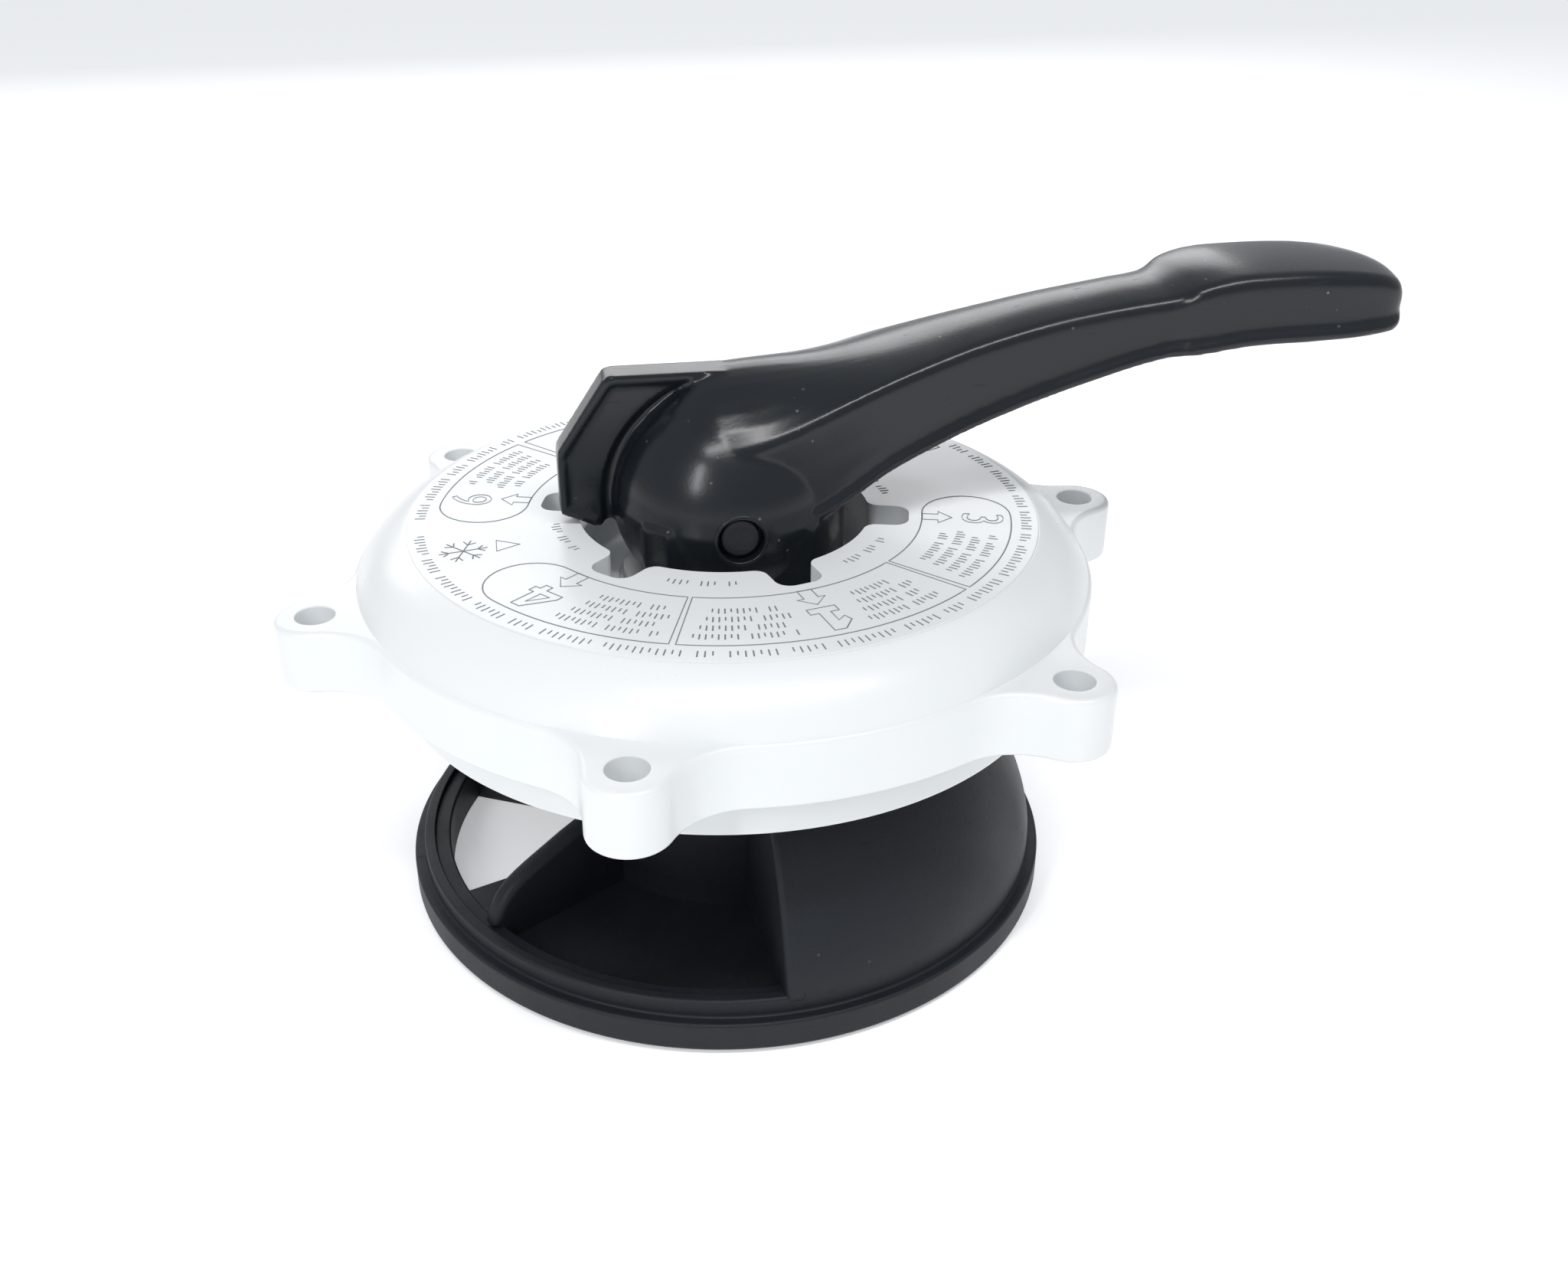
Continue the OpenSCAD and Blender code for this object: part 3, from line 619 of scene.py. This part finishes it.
def make_rotor():
    pieces = []
    ring = spun("ring", rounded([(RING_IN_R, ROTOR_Z, 0.4), (ROTOR_R, ROTOR_Z, 0.9), (ROTOR_R, BAND_Z, 0.6),
                                 (BELL_R, BAND_Z, 0.5), (BELL_R, LIP_Z, 0.7), (BELL_R - 2.2, LIP_Z, 0.3),
                                 (BELL_R - 2.2, LIP_Z - 1.1, 0.2), (RING_IN_R, LIP_Z - 1.1, 0.5)]), steps=180)
    pieces.append(ring)
    # domed shell from the blank pocket round to the window
    outer = [(BELL_R, LIP_Z - 2)] + outer_bell()
    inner = bell(BELL_R - 4, BAND_Z + 2, BELL_TOP_R - 4, ROTOR_TOP_Z - 4)
    dome = spun("dome", outer + [(ROOT_R, ROTOR_TOP_Z), (ROOT_R, ROTOR_TOP_Z - 4)] + inner[::-1]
                + [(BELL_R - 4, LIP_Z - 2)], steps=120, turn=WINDOW_END - BLANK_SIDE, start=BLANK_SIDE)
    pieces.append(dome)
    hub_low, floor_z = ROTOR_Z + 1.5, POCKET_Z - 4
    hub = spun("hub", rounded([(STEM_R, floor_z + 1, 1), (POCKET_R, floor_z + 0.5), (POCKET_R, hub_low, 0.4),
                               (HUB_R, hub_low, 0.6), (HUB_R, ROTOR_TOP_Z, 0.6), (POCKET_R, ROTOR_TOP_Z, 0.8),
                               (POCKET_R, POCKET_Z, 1.2), (STEM_R - 1, POCKET_Z)]), steps=128)
    pieces.append(hub)
    floor_disc = spun("hub_floor", rounded([(0, floor_z), (POCKET_R + 1, floor_z), (POCKET_R + 1, POCKET_Z),
                                            (0, POCKET_Z)]), steps=96)
    pieces.append(floor_disc)
    root = [(ROOT_R, ROOT_Z), (REACH_R, ROOT_Z)]
    side = root + [(REACH_R, LIP_Z - 1.5), (BELL_R - 0.2, LIP_Z - 1.5)] + outer_bell(0.25) \
        + [(ROOT_R, ROTOR_TOP_Z + 0.2)]
    for angle in (BLANK_SIDE, WINDOW_END):
        pieces.append(wall("partition", angle, side))
    # the wall between window and pocket is low and falls outwards to the ring
    fall = curve((BELL_R - 3, LIP_Z - 0.4), (BELL_R - 5, -38.6), (BELL_R - 10, -38.1), (HUB_R + 12, -34.1), 12)
    low_wall = root + [(REACH_R, LIP_Z - 1.5)] + fall + [(ROOT_R, -30.4)]
    pieces.append(wall("window_wall", WINDOW_SIDE, low_wall, soft=1.7))
    low_side = root + [(REACH_R, LIP_Z), (ROOT_R, LIP_Z)]
    for angle in (BLANK_SIDE + 60, BLANK_SIDE + 120, BLANK_SIDE + 180):
        pieces.append(wall("low_partition", angle, low_side, soft=0.8))
    blank = spun("blank_plate", [(ROOT_R, ROTOR_Z + 0.4), (REACH_R, ROTOR_Z + 0.4), (REACH_R, PLATE_TOP_Z),
                                 (ROOT_R, PLATE_TOP_Z)], steps=30, turn=60, start=WINDOW_SIDE)
    pieces.append(blank)
    web_turn = 12
    web = spun("corner_web", root + [(REACH_R, LIP_Z - 1.2), (ROOT_R, LIP_Z - 1.2)],
               steps=12, turn=web_turn, start=WINDOW_SIDE - web_turn)
    pieces.append(web)
    stem_low, stem_high = POCKET_Z - 2, 6.1
    grooves = []
    for low, high in ((-5.2, -2.6), (-0.2, 2.4)):
        grooves += [(STEM_R, low, 0.2), (STEM_R - SEAL_GROOVE, low, 0.2),
                    (STEM_R - SEAL_GROOVE, high, 0.2), (STEM_R, high, 0.2)]
    stem = spun("stem", rounded([(0, stem_low), (STEM_R, stem_low)] + grooves
                                + [(STEM_R, stem_high, 0.4), (0, stem_high)]), steps=80)
    pieces.append(stem)
    eye_r, eye_soft = 9, 8.9
    eye = pushed("eye", rounded([(-eye_r, 5), (eye_r, 5), (eye_r, PIN_Z + eye_r, eye_soft),
                                 (-eye_r, PIN_Z + eye_r, eye_soft)]), -EYE_HALF, EYE_HALF)
    placed(eye, turn=90, axis="X")
    round_stem = pushed("round_stem", circle(STEM_R, 80), 2, PIN_Z + 12)
    cut(eye, round_stem, "INTERSECT")
    bore = pushed("bore", circle(PIN_R + PIN_PLAY, 40), -20, 20)
    placed(bore, turn=90, axis="X")
    placed(bore, shift=(0, 0, PIN_Z))
    cut(eye, bore)
    pieces.append(eye)
    rotor = together("rotor_moulding", pieces)
    smooth(rotor, 32)
    return rotor


# ---------- lever ----------

# Along the lever: distance, middle of the top, shoulder, underside, half width, roundness of the shoulder
LEVER = [
    (-14, 41.6, 36.0, 28.0, 10.5, 2.6),
    (-10.5, 44.6, 37.4, 27.0, 13.2, 2.6),
    (-7, 47.1, 38.3, 26.0, 15.3, 2.6),
    (-3, 49.0, 39.2, 25.5, 17.0, 2.4),
    (3, 49.7, 40.5, 24.5, 17.9, 2.7),
    (9, 50.0, 42.4, 24.0, 17.8, 2.6),
    (15, 50.2, 44.7, 25.0, 17.2, 2.5),
    (21, 50.7, 47.0, 28.0, 16.2, 2.5),
    (28, 51.8, 49.5, 32.2, 15.0, 2.5),
    (36, 53.6, 51.9, 35.6, 13.4, 2.5),
    (44, 55.6, 54.1, 38.6, 12.0, 2.5),
    (52, 57.4, 56.0, 41.3, 11.1, 2.5),
    (60, 59.1, 57.7, 43.9, 10.6, 2.5),
    (68, 60.4, 59.0, 46.3, 10.5, 2.5),
    (75, 61.5, 60.0, 48.4, 10.6, 2.5),
    (80.5, 62.2, 60.7, 49.7, 10.8, 2.5),
    (83, 63.0, 61.4, 50.2, 11.5, 2.5),
    (85.5, 64.3, 62.8, 50.6, 12.6, 2.5),
    (89, 65.2, 63.9, 51.2, 13.2, 2.6),
    (93, 65.7, 64.6, 51.8, 13.3, 2.7),
    (100, 65.9, 64.9, 52.3, 13.3, 2.7),
    (108, 65.8, 64.9, 52.4, 13.3, 2.7),
    (115, 65.5, 64.5, 52.6, 13.2, 2.7),
    (121, 64.9, 63.7, 53.0, 12.7, 2.4),
    (124.5, 64.1, 62.6, 53.3, 11.8, 2.8),
    (126.6, 62.9, 61.2, 54.0, 10.1, 3.0),
    (127.4, 61.0, 59.6, 55.4, 7.6, 2.7),
]


def along(x):
    """The lever's measures at a distance, smoothly between the stations."""
    i = max(j for j in range(len(LEVER) - 1) if LEVER[j][0] <= x or j == 0)
    a, b = LEVER[i], LEVER[i + 1]
    before, after = LEVER[max(i - 1, 0)], LEVER[min(i + 2, len(LEVER) - 1)]
    h = b[0] - a[0]
    t = (x - a[0]) / h
    out = []
    for k in range(1, 6):
        va = (b[k] - before[k]) / (b[0] - before[0]) * h
        vb = (after[k] - a[k]) / (after[0] - a[0]) * h
        out.append((2 * t ** 3 - 3 * t * t + 1) * a[k] + (t ** 3 - 2 * t * t + t) * va
                   + (3 * t * t - 2 * t ** 3) * b[k] + (t ** 3 - t * t) * vb)
    return out


def lever_section(x):
    """Closed section of the lever: crowned top, rounded shoulder, flat side, lip at the bottom edge."""
    top, shoulder, low, half, soft = along(x)
    lip = 0.6
    side = half - 0.5
    cy, cz = side - soft, shoulder - soft * 0.8
    fall = math.radians(72 - min(34, 4 * (top - shoulder)))
    end_y, end_z = cy + soft * math.cos(fall), cz + soft * math.sin(fall)
    right = [(end_y * i / 7, top - (top - end_z) * (i / 7) ** 2.1) for i in range(7)]
    for i in range(6):
        t = fall * (1 - i / 5)
        right.append((cy + soft * math.cos(t), cz + soft * math.sin(t)))
    right += [(side - 0.25, low + (cz - low) * 0.66), (side - 0.35, low + (cz - low) * 0.33),
              (side - 0.2, low + 2.6), (side + lip, low + 1.7), (side + lip + 0.1, low + 0.9),
              (side + lip - 0.3, low + 0.15), (side - 1.2, low)]
    left = [(-y, z) for y, z in right[1:]]
    return [(x, y, z) for y, z in left[::-1]] + [(x, y, z) for y, z in right]


def lofted(name, sections):
    """A body through closed sections: the first is a ring of a primitive, each next is extruded and shaped."""
    n = len(sections[0])
    deselect()
    bpy.ops.mesh.primitive_circle_add(vertices=n, radius=10 * MM, fill_type="NOTHING", location=(0, 0, 0))
    obj = bpy.context.object
    obj.name = obj.data.name = name
    bpy.ops.object.mode_set(mode="EDIT")
    bm = bmesh.from_edit_mesh(obj.data)
    bm.verts.ensure_lookup_table()
    for v, p in zip(bm.verts, sections[0]):
        v.co = Vector(p) * MM
    bpy.ops.mesh.select_all(action="SELECT")
    bpy.ops.mesh.edge_face_add()
    for before, after in zip(sections, sections[1:]):
        step = (after[0][0] - before[0][0]) * MM
        bpy.ops.mesh.extrude_region_move(TRANSFORM_OT_translate={"value": (step, 0, 0)})
        bm = bmesh.from_edit_mesh(obj.data)
        for v in bm.verts:
            if v.select:
                y, z = v.co.y / MM, v.co.z / MM
                k = min(range(n), key=lambda q: (y - before[q][1]) ** 2 + (z - before[q][2]) ** 2)
                v.co = Vector(after[k]) * MM
        bmesh.update_edit_mesh(obj.data)
    bpy.ops.mesh.select_all(action="SELECT")
    bpy.ops.mesh.normals_make_consistent(inside=False)
    done()
    return obj


def hollow_section(x):
    """Section of the room under the lever, open below, with softened upper corners."""
    shoulder, low, half = along(x)[1:4]
    roof = shoulder - 3.2
    wide = half - 3.6
    under = low - 12
    right = [(wide - 1.6, roof), (wide - 0.6, roof - 0.4), (wide, roof - 1.5), (wide, under)]
    left = [(-y, z) for y, z in reversed(right)]
    return [(x, y, z) for y, z in left + right]


def slab(name, outline, thick):
    """A flat piece in the lever's middle plane, drawn from the side as (distance, height)."""
    obj = drawn(name, [(x, -thick / 2, z) for x, z in outline], fill=True)
    edit(obj)
    bpy.ops.mesh.extrude_region_move(TRANSFORM_OT_translate={"value": (0, thick * MM, 0)})
    bpy.ops.mesh.select_all(action="SELECT")
    bpy.ops.mesh.normals_make_consistent(inside=False)
    done()
    return obj


def make_handle():
    deselect()
    bpy.ops.mesh.primitive_uv_sphere_add(segments=96, ring_count=48, radius=HEAD_R * MM,
                                         location=(0, 0, 0))
    ball = placed(bpy.context.object, shift=(HEAD_X, 0, HEAD_Z))
    ball.name = "ball"
    # the ball is cut level under the pin, where the cam foot takes over
    edit(ball)
    bpy.ops.mesh.bisect(plane_co=(0, 0, (FOOT_Z + 2) * MM), plane_no=(0, 0, -1),
                        use_fill=True, clear_outer=True)
    done()
    foot = slab("foot", rounded([(-14, FOOT_Z, 1.2), (15, FOOT_Z, 5), (22.6, 14, 3), (22.6, 22, 2),
                                 (19, 25), (-17, 25), (-17, 17, 3)]), 36)
    pan = pushed("pan", circle(22.4, 96), FOOT_Z - 1, 40)
    placed(pan, shift=(0.4, 0, 0))
    cut(foot, pan, "INTERSECT")
    # sections stand closer where the paddle rises and at its rounded end
    xs = []
    for start, step, count in ((-14, 1.4, 15), (8, 1.6, 45), (80.8, 0.75, 14), (91.5, 2.2, 14)):
        xs += [start + step * i for i in range(count)]
    xs += [121.5, 123, 124.5, 125.6, 126.6, 127.1, 127.4]
    bar = lofted("bar", [lever_section(x) for x in xs])
    room_xs = (30, 36, 44, 52, 60, 68, 76, 80, 84, 90, 100, 110, 120, 122.5)
    hollow = lofted("hollow", [hollow_section(x) for x in room_xs])
    cut(bar, hollow)
    # index fin: thin web with a thick plate and a raised border on its outer edges
    web = slab("fin_web", rounded([(-27, 24), (-22, 47.5), (4, 47.5), (4, 22), (-20, 21.2), (-24, 21.2)]), 3.2)
    fin_gap = 1.9
    arc_in = circle_part(HEAD_R + fin_gap, range(112, 192, 5), HEAD_X, HEAD_Z)
    panel = slab("fin_plate", rounded([(-23.2, 20.2), (-24, 20.2, 0.4), (-28.5, 22.3, 1), (-31, 23.3, 1),
                                       (-31, 35.2, 1.2), (-21.6, 49.4, 1.6), (-6, 49.4), (-4, 48.6)])
                 + arc_in, 5.4)
    # the plate's border stands proud of its faces along the outer edges
    outside = rounded([(-24.2, 20.2), (-28.5, 22.3, 1), (-31, 23.3, 1), (-31, 35.2, 1.6), (-21.6, 49.4, 2),
                       (0, 49.4)], close=False, per=12)
    inside = rounded([(-24.2, 21.7), (-28.1, 23.6, 1), (-29.7, 24.3, 1), (-29.7, 34.8, 1.6), (-20.8, 47.9, 2),
                      (0, 47.9)], close=False, per=12)
    border = slab("fin_border", outside + inside[::-1], 6.6)
    handle = together("handle_moulding", [ball, foot, bar, web, panel, border])
    applied(handle, "REMESH", mode="VOXEL", voxel_size=0.52 * MM, use_smooth_shade=True)
    applied(handle, "SMOOTH", factor=0.5, iterations=5)
    room_x, room_y = 13.5, EYE_HALF + 0.4
    slot = pushed("eye_room", [(-room_x, -room_y), (room_x, -room_y), (room_x, room_y), (-room_x, room_y)],
                  FOOT_Z - 1, 37)
    cut(handle, slot)
    for side in (-1, 1):
        bore = pushed("recess", circle(RECESS_R, 64), 0, 6)
        placed(bore, turn=90 * -side, axis="X")
        placed(bore, shift=(0, side * 18.6, PIN_Z))
        cut(handle, bore)
    bore = pushed("pin_bore", circle(PIN_R + PIN_PLAY, 48), -30, 30)
    placed(bore, turn=90, axis="X")
    placed(bore, shift=(0, 0, PIN_Z))
    cut(handle, bore)
    rings = []
    ring_in, ring_out = RECESS_R - 0.05, RECESS_R + 0.7
    for side in (-1, 1):
        ring = spun("recess_ring", rounded([(ring_in, -1.8), (ring_out, -1.8), (ring_out, 0.45, 0.3),
                                            (ring_in, 0.45, 0.3)]), steps=64)
        placed(ring, turn=90 * -side, axis="X")
        rings.append(placed(ring, shift=(0, side * 21.05, PIN_Z)))
    handle = together("handle_moulding", [handle] + rings)
    smooth(handle, 40, weighted=False)
    return handle


# ---------- pin and spring ----------

def make_pin():
    """The pin, its two ends slightly dished."""
    end, dish = HEAD_R - 1.6, 0.25
    pin_r, dish_r = PIN_R - PIN_PLAY, PIN_R - 1.2
    pin = spun("pivot_pin_turned", rounded([(0, dish - end), (dish_r, -end, 0.3), (pin_r, -end, 0.5),
                                            (pin_r, end, 0.5), (dish_r, end, 0.3), (0, end - dish)]), steps=64)
    placed(pin, turn=90, axis="X")
    placed(pin, shift=(0, 0, PIN_Z))
    smooth(pin, 35)
    return pin


def make_spring():
    deselect()
    turns, per = 4.5, 48
    data = bpy.data.curves.new("spring_wire", "CURVE")
    data.dimensions = "3D"
    data.bevel_depth = WIRE_R * MM
    data.bevel_resolution = 4
    data.use_fill_caps = True
    s = data.splines.new("POLY")
    total = round(turns * per)
    s.points.add(total)
    low, high = SPRING_LOW_Z + WIRE_R, SPRING_TOP_Z - WIRE_R
    for i, p in enumerate(s.points):
        t = min(1, max(0, (i / per - 0.75) / (turns - 1.5)))
        x, y = polar(SPRING_R, 360 * i / per)
        p.co = (x * MM, y * MM, (low + (high - low) * t) * MM, 1)
    obj = bpy.data.objects.new("spring_coil", data)
    bpy.context.scene.collection.objects.link(obj)
    pick(obj)
    bpy.ops.object.convert(target="MESH")
    obj = bpy.context.object
    smooth(obj, 50, weighted=False)
    return obj


# ---------- materials ----------

def link(mat, a, b):
    mat.node_tree.links.new(a, b)


def grain_group():
    """Fine moulded grain: a height, and a soft mask of uneven gloss."""
    g = bpy.data.node_groups.new("moulded_grain", "ShaderNodeTree")
    g.interface.new_socket("Scale", in_out="INPUT", socket_type="NodeSocketFloat")
    g.interface.new_socket("Height", in_out="OUTPUT", socket_type="NodeSocketFloat")
    g.interface.new_socket("Uneven", in_out="OUTPUT", socket_type="NodeSocketFloat")
    i, o = g.nodes.new("NodeGroupInput"), g.nodes.new("NodeGroupOutput")
    where = g.nodes.new("ShaderNodeTexCoord")
    fine = g.nodes.new("ShaderNodeTexNoise")
    fine.inputs["Detail"].default_value = 3
    wide = g.nodes.new("ShaderNodeTexNoise")
    wide.inputs["Scale"].default_value = 60
    wide.inputs["Detail"].default_value = 4
    g.links.new(where.outputs["Object"], fine.inputs["Vector"])
    g.links.new(where.outputs["Object"], wide.inputs["Vector"])
    g.links.new(i.outputs["Scale"], fine.inputs["Scale"])
    g.links.new(fine.outputs["Fac"], o.inputs["Height"])
    g.links.new(wide.outputs["Fac"], o.inputs["Uneven"])
    return g


def specks_group():
    """Dust specks and fine scratches: one mask for each."""
    g = bpy.data.node_groups.new("dust_and_scratches", "ShaderNodeTree")
    g.interface.new_socket("Dust", in_out="OUTPUT", socket_type="NodeSocketFloat")
    g.interface.new_socket("Scratch", in_out="OUTPUT", socket_type="NodeSocketFloat")
    o = g.nodes.new("NodeGroupOutput")
    where = g.nodes.new("ShaderNodeTexCoord")
    cells = g.nodes.new("ShaderNodeTexVoronoi")
    cells.inputs["Scale"].default_value = 260
    near = g.nodes.new("ShaderNodeMapRange")
    near.inputs["From Min"].default_value = 0.09
    near.inputs["From Max"].default_value = 0.05
    patch = g.nodes.new("ShaderNodeTexNoise")
    patch.inputs["Scale"].default_value = 55
    some = g.nodes.new("ShaderNodeMapRange")
    some.inputs["From Min"].default_value = 0.52
    some.inputs["From Max"].default_value = 0.62
    both = g.nodes.new("ShaderNodeMath")
    both.operation = "MULTIPLY"
    g.links.new(where.outputs["Object"], cells.inputs["Vector"])
    g.links.new(where.outputs["Object"], patch.inputs["Vector"])
    g.links.new(cells.outputs["Distance"], near.inputs["Value"])
    g.links.new(patch.outputs["Fac"], some.inputs["Value"])
    g.links.new(near.outputs["Result"], both.inputs[0])
    g.links.new(some.outputs["Result"], both.inputs[1])
    g.links.new(both.outputs["Value"], o.inputs["Dust"])
    stretch = g.nodes.new("ShaderNodeMapping")
    stretch.inputs["Scale"].default_value = (1, 14, 14)
    stretch.inputs["Rotation"].default_value = (0.2, 0.35, 0.5)
    lines = g.nodes.new("ShaderNodeTexNoise")
    lines.inputs["Scale"].default_value = 90
    lines.inputs["Detail"].default_value = 5
    thin = g.nodes.new("ShaderNodeMapRange")
    thin.inputs["From Min"].default_value = 0.66
    thin.inputs["From Max"].default_value = 0.74
    g.links.new(where.outputs["Object"], stretch.inputs["Vector"])
    g.links.new(stretch.outputs["Vector"], lines.inputs["Vector"])
    g.links.new(lines.outputs["Fac"], thin.inputs["Value"])
    g.links.new(thin.outputs["Result"], o.inputs["Scratch"])
    return g


GRAIN = grain_group()
SPECKS = specks_group()


def finish_of(name, colour, tint, rough, rough_more, grain_scale, bump,
              metallic=0.0, dust=0.0, coat=0.0, specular=0.5):
    """A finish: base colour that drifts a little to a tint, uneven gloss, fine grain, and dust if any."""
    mat = bpy.data.materials.new(name)
    mat.use_nodes = True
    nodes = mat.node_tree.nodes
    skin = nodes["Principled BSDF"]
    skin.inputs["Metallic"].default_value = metallic
    skin.inputs["Coat Weight"].default_value = coat
    skin.inputs["Coat Roughness"].default_value = 0.12
    skin.inputs["Specular IOR Level"].default_value = specular
    grain = nodes.new("ShaderNodeGroup")
    grain.node_tree = GRAIN
    grain.inputs["Scale"].default_value = grain_scale
    mix = nodes.new("ShaderNodeMix")
    mix.data_type = "RGBA"
    mix.inputs["A"].default_value = (*colour, 1)
    mix.inputs["B"].default_value = (*tint, 1)
    link(mat, grain.outputs["Uneven"], mix.inputs["Factor"])
    gloss = nodes.new("ShaderNodeMapRange")
    gloss.inputs["From Min"].default_value = 0.3
    gloss.inputs["From Max"].default_value = 0.7
    gloss.inputs["To Min"].default_value = rough
    gloss.inputs["To Max"].default_value = rough + rough_more
    link(mat, grain.outputs["Uneven"], gloss.inputs["Value"])
    bumps = nodes.new("ShaderNodeBump")
    bumps.inputs["Strength"].default_value = bump
    bumps.inputs["Distance"].default_value = 0.0002
    link(mat, grain.outputs["Height"], bumps.inputs["Height"])
    link(mat, bumps.outputs["Normal"], skin.inputs["Normal"])
    colour_out, rough_out = mix.outputs["Result"], gloss.outputs["Result"]
    if dust:
        specks = nodes.new("ShaderNodeGroup")
        specks.node_tree = SPECKS
        amount = nodes.new("ShaderNodeMath")
        amount.operation = "MULTIPLY"
        amount.inputs[1].default_value = dust
        link(mat, specks.outputs["Dust"], amount.inputs[0])
        dusty = nodes.new("ShaderNodeMix")
        dusty.data_type = "RGBA"
        dusty.inputs["B"].default_value = (0.32, 0.33, 0.34, 1)
        link(mat, amount.outputs["Value"], dusty.inputs["Factor"])
        link(mat, colour_out, dusty.inputs["A"])
        colour_out = dusty.outputs["Result"]
        worn = nodes.new("ShaderNodeMath")
        worn.operation = "MULTIPLY_ADD"
        worn.inputs[1].default_value = 0.22
        link(mat, specks.outputs["Scratch"], worn.inputs[0])
        link(mat, rough_out, worn.inputs[2])
        rough_out = worn.outputs["Value"]
    link(mat, colour_out, skin.inputs["Base Color"])
    link(mat, rough_out, skin.inputs["Roughness"])
    return mat


def dress(obj, mat):
    obj.data.materials.clear()
    obj.data.materials.append(mat)


white = finish_of("white_moulding", (0.80, 0.815, 0.82), (0.76, 0.785, 0.80), 0.27, 0.10, 900, 0.04, coat=0.1)
# The dial's marks are raised lines in the same white plastic; this grey colour is painted shade that stands in
# for the shading along the raised lines, not print.
marks_painted_shade = finish_of("dial_marks_painted_shade", (0.17, 0.19, 0.21), (0.22, 0.24, 0.26), 0.5, 0.1, 900, 0.03)
lever_black = finish_of("lever_moulding", (0.005, 0.007, 0.010), (0.009, 0.012, 0.016), 0.17, 0.10, 1400, 0.06,
                        dust=0.4, specular=0.42)
rotor_black = finish_of("rotor_moulding", (0.007, 0.009, 0.013), (0.012, 0.015, 0.020), 0.46, 0.12, 1500, 0.22,
                        dust=0.1, specular=0.3)
pin_black = finish_of("pin_moulding", (0.013, 0.015, 0.019), (0.020, 0.023, 0.028), 0.4, 0.12, 1300, 0.15)
rubber = finish_of("seal_rubber", (0.012, 0.012, 0.012), (0.02, 0.02, 0.02), 0.7, 0.15, 1200, 0.3)
steel = finish_of("stainless", (0.60, 0.60, 0.59), (0.68, 0.68, 0.67), 0.24, 0.12, 700, 0.06, metallic=1.0)
slide = finish_of("slide_plastic", (0.56, 0.57, 0.57), (0.50, 0.51, 0.51), 0.42, 0.1, 1100, 0.06)

# ---------- the assembly ----------

cover = make_cover()
dress(cover, white)
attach(cover, "cover_body")
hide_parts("cover")

marks = make_marks()
# the marks get the grey of painted shade, not a printed colour
dress(marks, marks_painted_shade)
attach(marks, "cover_body")

rotor = make_rotor()
dress(rotor, rotor_black)
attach(rotor, "rotor_body")
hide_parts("rotor")

handle = make_handle()
dress(handle, lever_black)
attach(handle, "lever_body")
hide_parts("handle")

pin = make_pin()
dress(pin, pin_black)
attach(pin, "rotor_body")
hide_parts("pivot_pin")

spring = make_spring()
dress(spring, steel)
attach(spring, "cover_body")
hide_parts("spring")
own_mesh(spring)

for node, mat in (("cover_seal_ring", rubber), ("stem_seal_upper", rubber), ("stem_seal_lower", rubber),
                  ("rotor_gasket", rubber), ("steel_washer", steel), ("spring_washer_upper", steel),
                  ("slide_washer", slide), ("spring_slide_ring", slide)):
    dress(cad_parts[node], mat)

# ---------- floor, light and camera ----------

deselect()
bpy.ops.mesh.primitive_plane_add(size=40, location=(0, 0, FLOOR_Z * MM - 0.0002))
ground = bpy.context.object
ground.name = "studio_floor"
floor_mat = bpy.data.materials.new("studio_floor")
floor_mat.use_nodes = True
floor_skin = floor_mat.node_tree.nodes["Principled BSDF"].inputs
floor_skin["Base Color"].default_value = (0.93, 0.93, 0.93, 1)
floor_skin["Roughness"].default_value = 0.9
floor_skin["Emission Color"].default_value = (0.96, 0.98, 1.0, 1)
floor_skin["Emission Strength"].default_value = 0.36
dress(ground, floor_mat)

world = bpy.data.worlds.new("studio")
bpy.context.scene.world = world
world.use_nodes = True
sky = world.node_tree.nodes["Background"].inputs
sky["Color"].default_value = (0.93, 0.96, 1.0, 1)
sky["Strength"].default_value = 0.5


def softbox(name, place, target, size, power):
    deselect()
    bpy.ops.object.light_add(type="AREA", location=place)
    lamp = bpy.context.object
    lamp.name = name
    lamp.data.shape = "RECTANGLE"
    lamp.data.size, lamp.data.size_y = size
    lamp.data.energy = power
    aim = Vector(target) - Vector(place)
    lamp.rotation_euler = aim.to_track_quat("-Z", "Y").to_euler()


softbox("strip_light", (0.05, -0.36, 0.78), (0.03, 0, 0.02), (0.8, 0.1), 3.6)
softbox("window_light", (-0.42, -0.5, 0.4), (0, 0, 0.03), (0.05, 0.34), 1.3)
softbox("back_light", (-0.1, 0.9, 0.42), (0, 0, 0.04), (1.3, 0.35), 3.2)

deselect()
bpy.ops.object.camera_add(location=(-0.03825, -0.27217, 0.14289))
camera = bpy.context.object
camera.rotation_euler = (math.radians(61.458), math.radians(-0.437), math.radians(-10.169))
camera.data.lens = 36.118
camera.data.sensor_width = 36
camera.data.clip_start = 0.01
bpy.context.scene.camera = camera
bpy.context.scene.view_settings.view_transform = "Standard"
